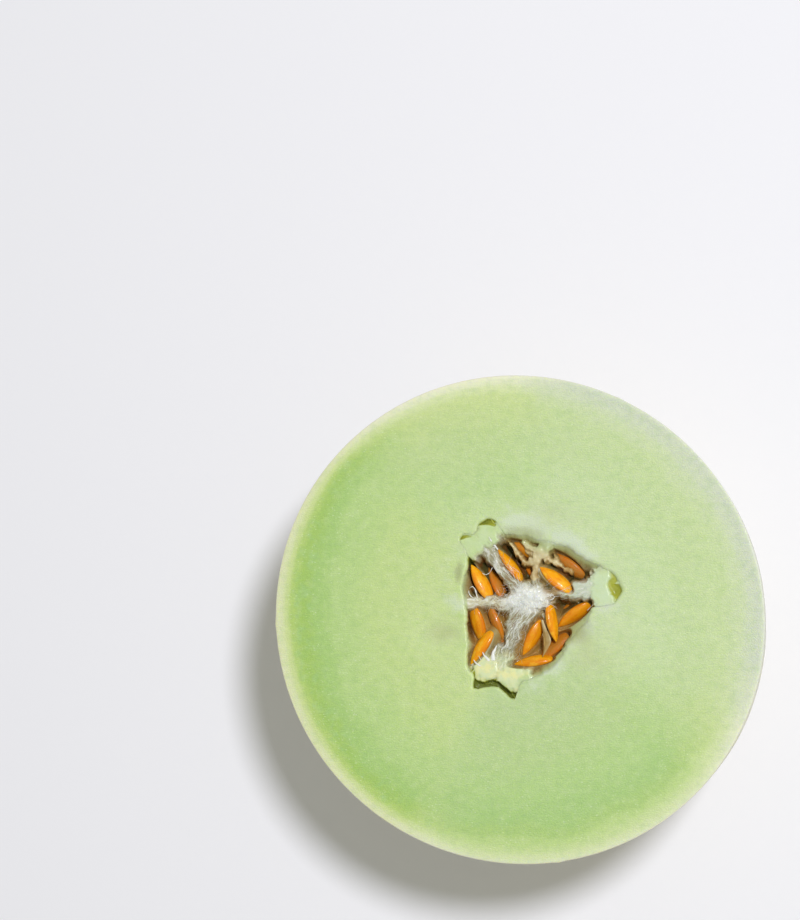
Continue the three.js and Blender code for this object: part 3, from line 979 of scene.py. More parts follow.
def seed_material(settings):
    """A wet seed coat: streaked, darker at the rim with painted shade, browner and darker low in the
    cavity partly with painted shade, with painted highlights on the upper seeds, veiled by film on some
    seeds.
    """
    shader = Shader("seed_coat")
    bright, deep, margin = tuple(settings.bright), tuple(settings.deep), tuple(settings.margin)
    place = shader.attribute("seed_place", "Vector")
    colour = shader.mix(shader.attribute("seed_brown_and_shade"), bright, deep)
    cloud = shader.noise((3.0, 1.4, 1.4), detail=3.0, source=place)
    colour = shader.mix(shader.remap(cloud, 0.45, 0.75, 0.0, 0.5), colour, srgb(222, 124, 14))
    streaks = shader.noise((3.5, 0.3, 0.5), detail=3.0, source=place)
    colour = shader.mix(shader.remap(streaks, 0.52, 0.74, 0.0, 0.35), colour, srgb(196, 96, 10))
    # Painted shade: the seed darkens towards its rim.
    rim = shader.remap(shader.attribute("seed_rim"), 0.25, 0.95)
    colour = shader.mix(shader.math("MULTIPLY", rim, 0.7), colour, margin)
    shreds = shader.math("ADD", shader.noise(2.1, detail=4.0, roughness=0.6), -0.5)
    shreds = shader.remap(shader.math("ABSOLUTE", shreds), 0.02, 0.1, 0.85, 0.15)
    veil = shader.math("MULTIPLY", shader.attribute("veiled"), shreds)
    colour = shader.mix(veil, colour, srgb(180, 138, 66))
    # Painted highlights: bright yellow patches on the seeds that lie high.
    patches = shader.noise((2.6, 1.6, 1.6), detail=2.0, source=place)
    patches = shader.remap(patches, 0.46, 0.7, 0.0, 0.6)
    painted_highlight = shader.math("MULTIPLY", patches, shader.remap(shader.attribute("seed_brown_and_shade"), 0.6, 0.1))
    colour = shader.mix(painted_highlight, colour, srgb(255, 200, 52))
    fine = shader.noise((1.6, 0.22, 0.3), detail=3.0, source=place)
    pits = shader.noise(0.5, detail=3.0, source=place)
    normal = shader.bump(shader.math("ADD", fine, pits), 0.1, 0.5)
    roughness = shader.remap(cloud, 0.3, 0.7, 0.2, 0.36)
    shader.set(Subsurface_Weight=0.25, Subsurface_Scale=0.001, Subsurface_Radius=(1.0, 0.6, 0.2),
               Specular_IOR_Level=0.25, Coat_Weight=0.38, Coat_Roughness=0.1)
    return shader.finish(colour, roughness, normal)


class MELON_OT_seeds(bpy.types.Operator):
    """Make each seed at or near its solid, with a raised rim, faint streaks and a wet coat"""
    bl_idname = "melon.make_seeds"
    bl_label = "Seeds"

    def execute(self, context):
        material = seed_material(context.scene.melon_seeds)
        for index, name in enumerate(SEED_NODES):
            piece = put(f"{name}_dressed", seed_mesh(name, index), material)
            hand_in(piece, "seed", name)
        return {"FINISHED"}


# ---- Tissue in the cavity ----

# The tissue is a surface of one height for each place in the cavity, so its forms are given as
# depths below the cut face. Ridges run through points of (x, y, depth, half width), all in mm.
CORE = (2.8, 5.6)
ARM_RIDGES = {
    "left": [(3.2, 7.4, 0.8, 2.6), (-1.8, 11.4, 1.5, 1.5), (-5.8, 15.8, 1.3, 1.7),
             (-8.6, 20.6, 0.7, 2.6), (-10.6, 23.6, 0.4, 3.0)],
    "right": [(7.0, 6.0, 0.6, 2.0), (12.0, 7.6, 1.0, 1.1), (17.0, 8.0, 0.5, 2.0),
              (22.0, 8.6, 0.3, 2.6), (27.6, 9.2, 0.3, 3.8)],
    "lower": [(2.6, 2.4, 1.0, 3.2), (-0.2, -1.2, 1.4, 2.8), (-1.6, -4.8, 1.7, 2.1),
              (-3.4, -8.6, 1.2, 2.3), (-4.6, -11.6, 0.6, 3.2), (-5.4, -14.6, 0.4, 3.8)],
    "between_seeds": [(8.4, 1.0, 2.6, 0.7), (8.0, -4.2, 3.4, 0.6), (9.2, -9.6, 3.8, 0.8)],
    "upper_web": [(5.8, 14.6, 2.8, 0.7), (5.3, 12.6, 2.4, 0.8), (6.2, 9.4, 1.2, 1.4)],
}
COVER_RIDGES = {
    "core": [(-0.6, 5.2, 0.8, 1.9), (3.4, 5.8, 0.35, 3.0), (7.4, 5.4, 0.5, 2.4)],
    "partition": [(1.6, 5.2, 0.9, 2.0), (-4.2, 4.4, 1.2, 1.4), (-8.4, 4.8, 1.2, 1.2),
                  (-12.6, 4.8, 0.9, 1.3), (-16.4, 4.6, 0.4, 1.9)],
}
# Where the tissue fills the corners level with the flesh: (x, y, depth, radius).
FILLS = [
    (-8.7, 25.2, 0.14, 4.2), (-13.8, 22.2, 0.14, 4.4), (-4.6, 26.8, 0.14, 2.6), (27.0, 11.6, 0.14, 4.0),
    (27.4, 6.8, 0.14, 5.0), (-9.4, -14.9, 0.2, 3.9), (-1.6, -17.6, 0.2, 4.6), (2.6, -18.4, 0.18, 3.2),
    (4.4, -20.4, 0.14, 2.8),
]
# Lobes in them that are whiter than the flesh: (x, y, radius, whiteness).
LOBES = [
    (-9.8, 26.0, 2.2, 0.5), (-13.8, 22.6, 2.2, 0.25), (26.4, 11.2, 2.3, 0.85), (26.6, 6.8, 2.6, 1.0),
    (22.0, 8.4, 3.2, 0.8), (-9.2, -14.4, 4.0, 1.0), (-3.2, -15.6, 4.2, 1.0), (0.4, -18.4, 3.4, 1.0),
    (4.0, -18.6, 2.8, 0.7), (1.6, -20.2, 2.4, 0.9), (-9.4, 21.8, 2.4, 0.35),
]
# Crevices between the lobes and the flesh, as paths of (x, y, depth, half width).
CREVICES = [
    [(-12.8, 27.2, 0.6, 0.3), (-11.6, 28.4, 1.3, 0.6), (-10.1, 29.0, 1.8, 0.85), (-8.3, 28.9, 1.5, 0.8),
     (-6.6, 28.0, 0.8, 0.5)],
    [(-13.6, 24.6, 0.5, 0.3), (-15.6, 24.6, 1.0, 0.5), (-17.6, 24.0, 1.5, 0.65), (-18.0, 22.2, 1.3, 0.5),
     (-17.3, 20.8, 0.6, 0.3)],
    [(-15.0, 18.6, 0.8, 0.15), (-14.2, 17.6, 3, 0.4)],
    [(28.8, 15.0, 0.5, 0.5), (29.6, 13.2, 0.8, 1.0), (30.0, 11.4, 0.9, 1.2), (29.0, 9.8, 1.0, 1.2),
     (30.4, 8.2, 1.4, 1.7), (30.9, 6.6, 1.3, 1.7), (30.6, 5.2, 0.8, 0.9)],
    [(-12.8, -15.8, 0.8, 0.2), (-13.2, -18.2, 1.8, 0.7), (-12.2, -20.0, 2.8, 1.1),
     (-9.2, -20.3, 3.0, 1.0), (-6.4, -19.7, 3.0, 0.8), (-4.4, -21.3, 3.2, 1.0),
     (-2.2, -23.1, 3.0, 1.0), (-0.8, -24.3, 1.8, 0.6)],
]
# Torn membranes that span the seeds by the upper wall, as paths of (x, y, depth, half width).
MEMBRANES = {
    "bridge": [(9.8, 23.0, 0.5, 2.6), (8.2, 20.4, 0.9, 2.2), (6.4, 17.9, 1.5, 1.5),
               (5.8, 15.4, 2.1, 0.9), (5.3, 12.6, 2.2, 0.9)],
    "window_right": [(7.6, 18.8, 1.4, 1.2), (10.7, 17.0, 1.9, 0.8), (13.0, 15.6, 2.2, 0.6),
                     (16.0, 13.6, 3.2, 0.3)],
    "window_left": [(-2.4, 23.0, 2.0, 0.25), (0.4, 19.2, 2.2, 0.4), (2.3, 16.9, 2.5, 0.6),
                    (4.4, 16.8, 2.1, 0.9), (6.2, 17.6, 1.7, 1.0)],
    "window_top": [(2.0, 22.9, 1.3, 0.35), (4.6, 21.3, 1.3, 0.6), (7.4, 20.2, 1.0, 1.2)],
    "shred_a": [(2.4, 20.6, 2.9, 0.25), (4.0, 19.6, 2.6, 0.4), (5.8, 18.4, 1.9, 0.6)],
    "shred_b": [(11.2, 18.8, 2.6, 0.2), (12.4, 17.2, 2.9, 0.3), (13.6, 15.6, 2.6, 0.4)],
}
UNDER_ARMS = ("seed_05", "seed_11", "seed_18", "seed_19", "seed_20")  # these lie under the arms
POCKET_DEPTH = 8.2  # of the bed between the arms, mm
TISSUE_CLEARANCE = 0.12  # the tissue stays at least this far below the cut face, mm
RIDGE_APART = 30  # how far apart in mm the fibres' pattern starts from one ridge to the next
FAR = 99.0  # mm, further than anything in the cavity reaches
BATCH = 4000  # points whose distances are worked out at once
MENDING_PASSES = 20  # most rounds of filling in where cells meet only at a corner
FOUR_NUMBERS = 4e6  # more than the numbers of any four of the tissue's vertices add up to
# The bowl that closes the tissue below, as (depth in mm, width as a share of the surface's width).
BOWL = [(14, 0.9), (26, 0.78), (34, 0.55), (38, 0.3)]


def smooth_min(first, second, blend):
    """The smaller of two depths, with a fillet where they come within a blend of each other."""
    share = np.clip(0.5 + 0.5 * (second - first) / blend, 0, 1)
    return second * (1 - share) + first * share - blend * share * (1 - share)


def along_path(points, path):
    """For each point, its distance from a path, the path's depth and half width there, how far
    along it lies, and to which side."""
    path = smooth_path(path, 5)
    start, step = path[:-1], np.diff(path, axis=0)
    length = np.hypot(step[:, 0], step[:, 1])
    before = np.concatenate([[0], np.cumsum(length)[:-1]])
    offset = points[:, None, :2] - start[None, :, :2]
    share = np.clip((offset * step[None, :, :2]).sum(2) / length ** 2, 0, 1)
    gap = offset - share[..., None] * step[None, :, :2]
    distance = np.hypot(gap[..., 0], gap[..., 1])
    nearest = distance.argmin(1)
    row = np.arange(len(points))
    share = share[row, nearest]
    values = start[nearest] + step[nearest] * share[:, None]
    side = np.sign(step[nearest, 0] * gap[row, nearest, 1] - step[nearest, 1] * gap[row, nearest, 0])
    run = before[nearest] + share * length[nearest]
    return distance[row, nearest], values[:, 2], np.maximum(values[:, 3], 0.05), run, side


def ridge_depth(points, path, slope, crown, ragged):
    """Depth of a rounded ridge, its fibres' coordinates along and across it, and how far outside
    it each point lies."""
    distance, depth, half, run, side = along_path(points, path)
    distance = np.maximum(distance + 0.5 * ragged, 0)
    share = np.minimum(distance / half, 1)
    beyond = np.maximum(distance - half, 0)
    return depth + crown * share ** 2 + slope * beyond ** 1.15, run, side * distance, distance - half


class SeedShadow:
    """The vertical shadow of a seed, and the height of its middle there."""

    def __init__(self, name):
        self.centre, axes, size = seed_axes(name)
        self.centre = self.centre + SETTLED.get(name, (0, 0, 0))
        shape = axes.T @ np.diag((2.0 / (size * [1.0, 1.0, SEED_PLUMPING])) ** 2) @ axes
        self.plan = shape[:2, :2] - np.outer(shape[:2, 2], shape[2, :2]) / shape[2, 2]
        self.tilt = -shape[2, :2] / shape[2, 2]

    def at(self, points):
        """How far out each point is, 1 at the shadow's edge, and the seed's middle depth there."""
        offset = points[:, :2] - self.centre[:2]
        reach = np.sqrt(np.einsum("ij,jk,ik->i", offset, self.plan, offset))
        near = offset * np.minimum(1, 1 / np.maximum(reach, 1e-6))[:, None]
        return reach, CUT_Z - (self.centre[2] + near @ self.tilt)


def wall_distance(points, angles, wall):
    """Distance in mm from each point to the cavity's edge, and the direction of each point."""
    edge = around_middle(CAVITY_MIDDLE, angles, wall, 0)[:, :2]
    distance = np.full(len(points), np.inf)
    for start in range(0, len(points), BATCH):
        part = points[start:start + BATCH, None, :2] - edge[None]
        distance[start:start + BATCH] = np.sqrt((part ** 2).sum(2).min(1))
    radius, turn = about_middle(points)
    outside = radius > np.interp(turn, angles, wall, period=2 * math.pi)
    return np.where(outside, -distance, distance), turn


def shelf_depth(distance, lip, slope):
    """Depth of the tissue beside the wall: it leaves the rounded lip as a tangent of one slope,
    and runs on under the lip."""
    fall = np.arctan(slope)
    leaves = lip * (1 - np.sin(fall))
    out = -distance
    rounded = lip - np.sqrt(np.maximum(lip ** 2 - np.clip(lip - out, 0, lip) ** 2, 0))
    under = rounded + 0.02 + 0.3 * (out - leaves)
    steepening = 0.16 * np.maximum(distance, 0) ** 2
    tangent = lip * (1 - np.cos(fall)) + slope * (distance + leaves) + steepening
    return np.where(out > leaves, under, tangent)


class TissueForm:
    """The tissue's surface, as a depth for each point of the cavity's plan that is built up form
    by form, with the weights and coordinates that its finish reads."""

    def __init__(self, points, angles, wall):
        self.points = points
        self.distance, turn = wall_distance(points, angles, wall)
        degrees = np.degrees(turn)
        self.lumps = noise_at(points, 2.4, 3.0)
        self.ragged = 1.5 * noise_at(points, 1.9, 71.0, 2)
        shelf = shelf_depth(
            self.distance, by_direction(LIP_RADII, degrees), by_direction(SHELF_SLOPES, degrees))
        shelf = shelf + 0.6 * self.lumps * smoothstep(0, 2, self.distance)
        self.depth = smooth_min(POCKET_DEPTH + 1.1 * self.lumps, shelf, 1.6)
        self.run, self.side, self.level, self.lobe, self.film = np.zeros((5, len(points)))
        self.off_ridge = np.full(len(points), FAR)  # how far points lie outside the nearest ridge
        self.add_nests(covered=True)
        self.add_ridges(ARM_RIDGES, 0, slope=2.4, crown=0.5, blend=1.2)
        self.add_fills()
        self.add_lobes()
        self.add_nests(covered=False)
        self.add_ridges(COVER_RIDGES, 300, slope=2.0, crown=0.4, blend=0.8)
        self.add_membranes()
        self.carve_crevices()

    def away_from(self, x, y):
        """Distance of each point from one place."""
        return np.hypot(self.points[:, 0] - x, self.points[:, 1] - y)

    def add_nests(self, covered):
        """Hollows that the seeds lie in: those that the arms cover, or the others."""
        for name in SEED_NODES:
            if (name in UNDER_ARMS) != covered:
                continue
            reach, middle = SeedShadow(name).at(self.points)
            brim = middle + 0.35 + 4.5 * np.maximum(reach - 1, 0)
            hollow = middle + 0.05 - 14 * np.maximum(reach - 1.04, 0)
            self.depth = np.maximum(smooth_min(self.depth, brim, 0.8), hollow)

    def add_ridges(self, ridges, first_run, slope, crown, blend):
        """Rounded ridges, with the coordinates that their fibres follow."""
        for offset, path in enumerate(ridges.values()):
            form, run, side, beyond = ridge_depth(self.points, path, slope, crown, self.ragged)
            near = beyond < self.off_ridge
            self.run[near] = run[near] + first_run + RIDGE_APART * offset
            self.side[near] = side[near]
            np.minimum(self.off_ridge, beyond, out=self.off_ridge)
            self.depth = smooth_min(self.depth, form, blend)

    def add_fills(self):
        """The corners that the tissue fills level with the flesh."""
        for x, y, top, radius in FILLS:
            beyond = self.away_from(x, y) + 0.7 * self.ragged - radius
            fill = top + 0.35 * smoothstep(-1.2, 0.2, beyond) + 3.0 * np.maximum(beyond, 0)
            self.depth = np.minimum(self.depth, fill)
            np.minimum(self.off_ridge, beyond, out=self.off_ridge)
            self.level = np.maximum(self.level, smoothstep(1.0, -1.6, beyond))

    def add_lobes(self):
        """The whiter lobes in the filled corners, with shallow grooves round the lower ones."""
        nearest = np.full(len(self.points), FAR)
        for x, y, radius, whiteness in LOBES:
            beyond = self.away_from(x, y) - radius
            np.minimum(nearest, beyond, out=nearest)
            ragged_edge = smoothstep(1.1, -1.1, beyond + 1.1 * self.ragged)
            self.lobe = np.maximum(self.lobe, whiteness * ragged_edge)
        self.lobe *= 0.25 + 0.75 * smoothstep(0.2, 1.8, self.distance)
        grooves = smoothstep(-1.4, 0.2, nearest) * smoothstep(2.4, 0.4, nearest)
        grooves = grooves * smoothstep(-8, -11, self.points[:, 1])
        self.depth = self.depth + 0.26 * self.level * grooves

    def add_membranes(self):
        """Thin torn membranes, as sharper and more ragged ridges."""
        for path in MEMBRANES.values():
            form, _, _, beyond = ridge_depth(self.points, path, 3.2, 0.3, 1.3 * self.ragged)
            self.depth = smooth_min(self.depth, form + 0.25 * self.lumps, 0.5)
            self.film = np.maximum(self.film, smoothstep(0.5, 0.0, beyond))

    def carve_crevices(self):
        """The crevices between the lobes and the flesh."""
        for path in CREVICES:
            gap, bottom, half, *_ = along_path(self.points, path)
            carved = bottom * smoothstep(1.7, 0.4, (gap + 0.15 * self.ragged) / half)
            self.depth = np.maximum(self.depth, carved)

    def relief(self):
        """Fibres and lumps of the surface, in mm upwards, with where the core and the fibres are."""
        points = self.points
        from_core = np.hypot((points[:, 0] - CORE[0]) / 6.0, (points[:, 1] - CORE[1]) / 3.6)
        core = smoothstep(1.5, 0.7, from_core)
        lower = smoothstep(-1, -4, points[:, 1]) * smoothstep(-14, -9, points[:, 1])
        lower = lower * smoothstep(1.0, -0.5, self.off_ridge)
        flat = np.zeros(len(points))
        fibres = noise_at(np.stack([self.run / 3.2, self.side / 0.42, flat], 1), 1.0, 6.0)
        warp = np.stack([noise_at(points, 1.6, 21.0, 2), noise_at(points, 1.6, 33.0, 2), flat], 1)
        fluff = 1 - 2.2 * np.abs(noise_at(points + 1.9 * warp, 1.15, 12.0, 3))
        fine = noise_at(points, 0.55, 15.0, 2)
        relief = (0.14 + 0.5 * lower) * fibres * smoothstep(1.6, 0.0, self.off_ridge)
        relief += 0.22 * core * fluff + 0.1 * noise_at(points, 1.5, 9.0, 2) + 0.02 * fine
        relief *= smoothstep(7.0, 3.0, self.depth) * 0.75 + 0.25
        return relief, core, fibres


def grid_mesh(spacing, inside_test):
    """A flat grid of square cells, kept where the test holds, with no cells that meet only at a
    corner."""
    reach = CAVITY_REACH
    count = int(2 * reach / spacing) + 1
    ticks = np.linspace(-reach, reach, count)
    xs, ys = np.meshgrid(ticks + CAVITY_MIDDLE[0], ticks + CAVITY_MIDDLE[1], indexing="ij")
    points = np.stack([xs.ravel(), ys.ravel(), np.zeros(xs.size)], 1)
    kept = inside_test(points).reshape(xs.shape)
    cells = kept[:-1, :-1] & kept[1:, :-1] & kept[1:, 1:] & kept[:-1, 1:]
    for _ in range(MENDING_PASSES):
        one = cells[:-1, :-1] & cells[1:, 1:] & ~cells[1:, :-1] & ~cells[:-1, 1:]
        two = ~cells[:-1, :-1] & ~cells[1:, 1:] & cells[1:, :-1] & cells[:-1, 1:]
        if not (one | two).any():
            break
        cells[:-1, :-1] |= two
        cells[1:, :-1] |= one
    column, row = np.nonzero(cells)
    corner = column * count + row
    quads = np.stack([corner, corner + count, corner + count + 1, corner + 1], 1)
    used, quads = np.unique(quads, return_inverse=True)
    return points[used], quads.reshape(-1, 4)


def placenta_mesh(settings):
    """The tissue over the whole cavity, closed by a bowl below."""
    angles = np.linspace(0, 2 * math.pi, AROUND, endpoint=False)
    lip = by_direction(LIP_RADII, np.degrees(angles))
    edge = CavityWall(angles).radius(lip)

    def in_cavity(points):
        radius, turn = about_middle(points)
        return radius < np.interp(turn, angles, edge + 0.3 + 0.4 * lip, period=2 * math.pi)

    points, quads = grid_mesh(settings.grain / MM, in_cavity)
    form = TissueForm(points, angles, edge)
    relief, core, fibres = form.relief()
    fibres *= 1 - form.level
    relief *= (1 - 0.9 * form.level) * smoothstep(0, 0.8, form.distance)
    dips = np.minimum(face_relief(points, bpy.context.scene.melon_half.wave), 0)
    depth = form.depth - dips * smoothstep(3.0, 0.5, form.distance)
    shown = np.maximum(depth - relief, TISSUE_CLEARANCE + 0.1 * np.abs(fibres))
    points[:, 2] = CUT_Z - shown
    west = smoothstep(52, 40, np.abs(np.degrees(about_middle(points)[1]) - 192))
    arm = smoothstep(1.6, -0.4, form.off_ridge)
    brim = smoothstep(3.4, 0.4, form.distance * (1 + 2 * west) * (1 + arm))
    mesh = bpy.data.meshes.new("placenta_dressed")
    mesh.from_pydata((points * MM).tolist(), [], quads.tolist())
    mesh.update()
    stored = {
        "down": shown, "core": core, "fibres": fibres, "arm": arm, "wall": brim * (1 - form.level),
        "film": form.film, "level": form.level, "lobe": form.lobe,
    }
    for name, values in stored.items():
        store(mesh, name, values)
    store_flesh(mesh, Outline())
    close_below(mesh)
    return mesh


def face_place(face):
    """A face's place in its mesh by its vertices, because the bowl's faces come in any order."""
    corners = [vert.index for vert in face.verts]
    return min(corners) * FOUR_NUMBERS + sum(corners[:4])


def close_below(mesh):
    """Closes the tissue's surface with a bowl, which lies out of sight."""
    form = bmesh.new()
    form.from_mesh(mesh)
    middle = Vector((*CAVITY_MIDDLE, 0)) * MM
    last_width = 1.0
    for depth, width in BOWL:
        open_edges = [edge for edge in form.edges if edge.is_boundary]
        made = bmesh.ops.extrude_edge_only(form, edges=open_edges)["geom"]
        for vert in (item for item in made if isinstance(item, bmesh.types.BMVert)):
            spoke = Vector((vert.co.x, vert.co.y, 0)) - middle
            vert.co = middle + spoke * (width / last_width)
            vert.co.z = (CUT_Z - depth) * MM
        last_width = width
    bmesh.ops.holes_fill(form, edges=[edge for edge in form.edges if edge.is_boundary], sides=0)
    bmesh.ops.recalc_face_normals(form, faces=form.faces)
    form.verts.index_update()
    form.faces.sort(key=face_place)
    form.to_mesh(mesh)
    form.free()
    mesh.update()


def arm_colours(shader, lower, yellow):
    """Whitish arms: cream on the left one, tan at the right one's base, yellower in the lower one."""
    x, y, _ = shader.xyz()
    out = shader.remap(x, 9.0 * MM, 15.0 * MM)
    arms = shader.mix(out, srgb(174, 172, 142), srgb(204, 212, 188))
    off_middle = shader.math("ABSOLUTE", shader.math("ADD", y, -4.8 * MM))
    cream = shader.math("MULTIPLY", shader.remap(off_middle, 3.0 * MM, 1.6 * MM, 0.0, 0.8),
                        shader.remap(x, 7.0 * MM, 3.0 * MM))
    arms = shader.mix(cream, arms, srgb(220, 218, 186))
    tan = shader.math("MULTIPLY", shader.remap(x, 7.0 * MM, 9.0 * MM),
                      shader.remap(x, 15.0 * MM, 12.0 * MM))
    arms = shader.mix(tan, arms, srgb(168, 146, 104))
    return shader.mix(shader.math("MULTIPLY", lower, 0.75), arms, yellow)


def stained_and_shaded_tissue(shader, settings, colour, grain):
    """The tissue's colour, browner low down with juice and painted shade, with white fibres and painted
    shade in the gaps along the arms.
    """
    down, arm = shader.attribute("down"), shader.attribute("arm")
    _, y, _ = shader.xyz()
    # Browner the deeper it lies: partly juice stain and partly painted shade.
    stain_and_shade = shader.math("ADD", down, shader.math("MULTIPLY_ADD", grain, 2.6, -1.3))
    stain_and_shade = shader.math("MULTIPLY_ADD", arm, -1.1, stain_and_shade)
    colour = shader.mix(shader.remap(stain_and_shade, 0.9, 2.9, 0.0, 0.8), colour, srgb(168, 146, 84))
    pools = shader.remap(shader.noise(4.2, detail=3.0), 0.4, 0.6)
    bed = shader.mix(pools, tuple(settings.juice), srgb(86, 80, 40))
    bed = shader.mix(shader.remap(y, 5.0 * MM, -1.0 * MM, 0.0, 0.65), bed, srgb(198, 156, 82))
    colour = shader.mix(shader.remap(stain_and_shade, 2.3, 5.0), colour, bed)
    fibres = shader.attribute("fibres")
    threads = shader.math("MULTIPLY", shader.remap(fibres, 0.05, 0.45), arm)
    colour = shader.mix(shader.math("MULTIPLY", threads, 0.65), colour, srgb(234, 236, 226))
    # Painted shade in the gaps between the fibres along the arms.
    gap_shade = shader.math("MULTIPLY", shader.remap(fibres, -0.02, -0.45), arm)
    gap_shade = shader.math("MULTIPLY", gap_shade, shader.remap(down, 0.7, 1.8, 0.0, 0.75))
    return shader.mix(gap_shade, colour, srgb(140, 106, 66))


def tissue_material(settings, name, glow):
    """White at the core, pale green where it meets the flesh, and browner low down, partly stained and
    partly painted shade.
    """
    shader = Shader(name)
    down = shader.attribute("down")
    grain = shader.noise(1.7, detail=4.0, roughness=0.6)
    lower = shader.remap(shader.xyz()["Y"], -8.0 * MM, -13.0 * MM)
    blotch = shader.remap(shader.noise(2.6, detail=3.0), 0.4, 0.62)
    yellow = shader.mix(blotch, srgb(216, 226, 178), srgb(232, 232, 172))
    ends = shader.mix(lower, tuple(settings.lobe), yellow)
    arms = arm_colours(shader, lower, yellow)
    colour = shader.mix(shader.attribute("core"), arms, tuple(settings.white))
    colour = stained_and_shaded_tissue(shader, settings, colour, grain)
    # The film browns the deeper it lies, partly stain and partly painted shade.
    thin = shader.remap(shader.math("MULTIPLY_ADD", grain, 2.4, down), 2.4, 4.8)
    film = shader.mix(thin, srgb(218, 208, 164), srgb(174, 142, 80))
    colour = shader.mix(shader.attribute("film"), colour, film)
    flesh = beside_cavity(shader, bpy.context.scene.melon_half, down)
    whitish = shader.math("MULTIPLY", shader.attribute("lobe"), shader.remap(down, 1.0, 0.4))
    colour = shader.mix(shader.attribute("level"), colour, shader.mix(whitish, flesh, ends))
    inside_cleft = shader.math("MULTIPLY", shader.attribute("cleft"), shader.remap(down, 0.3, 0.9))
    beside = shader.math("MAXIMUM", shader.attribute("wall"), inside_cleft)
    colour = shader.mix(beside, colour, flesh)
    normal = shader.bump(shader.noise(0.3, detail=3.0, roughness=0.65), 0.1, 0.45)
    roughness = shader.remap(grain, 0.3, 0.7, 0.22, 0.42)
    shader.set(Subsurface_Weight=glow, Subsurface_Scale=0.0016, Subsurface_Radius=(1.0, 0.9, 0.6),
               Specular_IOR_Level=0.25, Coat_Weight=0.15, Coat_Roughness=0.1)
    return shader.finish(colour, roughness, normal)


class MELON_OT_placenta(bpy.types.Operator):
    """Make the white tissue that carries the seeds: core, arms, lobes and membranes in one fine mesh"""
    bl_idname = "melon.make_placenta"
    bl_label = "Placenta"

    def execute(self, context):
        settings = context.scene.melon_tissue
        mesh = placenta_mesh(settings)
        piece = put("placenta_dressed", mesh, tissue_material(settings, "wet_tissue", 0.5))
        hand_in(piece, "placenta", "placenta")
        return {"FINISHED"}


# ---- Fibres ----

def sweep_tree(name, material):
    """A Geometry Nodes tree that gives each spline its thickness and turns the lot into a mesh."""
    tree = bpy.data.node_groups.new(name, "GeometryNodeTree")
    face = tree.interface
    face.new_socket("Geometry", in_out="INPUT", socket_type="NodeSocketGeometry")
    radius = face.new_socket("Radius", in_out="INPUT", socket_type="NodeSocketFloat")
    sides = face.new_socket("Sides", in_out="INPUT", socket_type="NodeSocketInt")
    face.new_socket("Geometry", in_out="OUTPUT", socket_type="NodeSocketGeometry")
    enter = tree.nodes.new("NodeGroupInput")
    leave = tree.nodes.new("NodeGroupOutput")
    profile = tree.nodes.new("GeometryNodeCurvePrimitiveCircle")
    own = tree.nodes.new("GeometryNodeInputRadius")
    sweep = tree.nodes.new("GeometryNodeCurveToMesh")
    sweep.inputs["Fill Caps"].default_value = True
    real = tree.nodes.new("GeometryNodeRealizeInstances")
    paint = tree.nodes.new("GeometryNodeSetMaterial")
    paint.inputs["Material"].default_value = material
    links = tree.links
    links.new(enter.outputs["Sides"], profile.inputs["Resolution"])
    links.new(enter.outputs["Radius"], profile.inputs["Radius"])
    links.new(enter.outputs["Geometry"], sweep.inputs["Curve"])
    links.new(profile.outputs["Curve"], sweep.inputs["Profile Curve"])
    links.new(own.outputs["Radius"], sweep.inputs["Scale"])
    links.new(sweep.outputs["Mesh"], real.inputs["Geometry"])
    links.new(real.outputs["Geometry"], paint.inputs["Geometry"])
    links.new(paint.outputs["Geometry"], leave.inputs["Geometry"])
    return tree, radius.identifier, sides.identifier


def swept(name, paths, material, radius, sides):
    """A plain mesh of tubes along paths, each a list of (x, y, z, relative radius) in mm."""
    curve = bpy.data.curves.new(name, "CURVE")
    curve.dimensions = "3D"
    for path in paths:
        spline = curve.splines.new("POLY")
        spline.points.add(len(path) - 1)
        for point, (x, y, z, girth) in zip(spline.points, path):
            point.co = (x * MM, y * MM, z * MM, 1)
            point.radius = girth
    source = bpy.data.objects.new(name + "_paths", curve)
    bpy.context.collection.objects.link(source)
    tree, radius_input, sides_input = sweep_tree(name + "_sweep", material)
    modifier = source.modifiers.new("sweep", "NODES")
    modifier.node_group = tree
    modifier[radius_input] = radius
    modifier[sides_input] = sides
    evaluated = source.evaluated_get(bpy.context.evaluated_depsgraph_get())
    mesh = bpy.data.meshes.new_from_object(evaluated)
    source.modifiers.clear()
    bpy.data.objects.remove(source)
    mesh.name = name
    return mesh


class Tissue:
    """Where the dressed tissue and seeds lie under a point of the cut face."""

    def __init__(self):
        depsgraph = bpy.context.evaluated_depsgraph_get()
        names = ["placenta_dressed"] + [f"{name}_dressed" for name in SEED_NODES]
        self.trees = [BVHTree.FromObject(bpy.data.objects[name], depsgraph) for name in names]

    def top(self, x, y):
        """Height in mm of the highest surface under (x, y), or None beyond the tissue."""
        best = None
        for tree in self.trees:
            hit, *_ = tree.ray_cast(Vector((x * MM, y * MM, (CUT_Z + 5) * MM)), Vector((0, 0, -1)))
            if hit is not None and (best is None or hit.z / MM > best):
                best = hit.z / MM
        return best


STRAND_RANDOM = 7  # the strands' random numbers start from this
STRAND_SHORTEST = 5  # points; a shorter one is left out
STRAND_STEP = 0.55  # mm from point to point
STRAND_LIFT = 0.04  # strands lie at least this far above the tissue, mm, but below the cut face
# Spines that the fine strands follow: from, to (mm), share in percent, spread in mm, most steps, and
# whether they lie matted every way.
STRAND_SPINES = [
    ((-1.6, 5.2), (7.8, 5.6), 46, 2.4, 8, True),
    ((2.0, 8.6), (-8.0, 21.0), 10, 1.2, 9, False),
    ((8.0, 6.6), (22.0, 8.4), 7, 1.2, 9, False),
    ((2.6, 1.6), (-3.8, -12.6), 24, 1.7, 12, False),
    ((-0.6, 5.0), (-14.0, 4.6), 13, 1.1, 8, True),
]


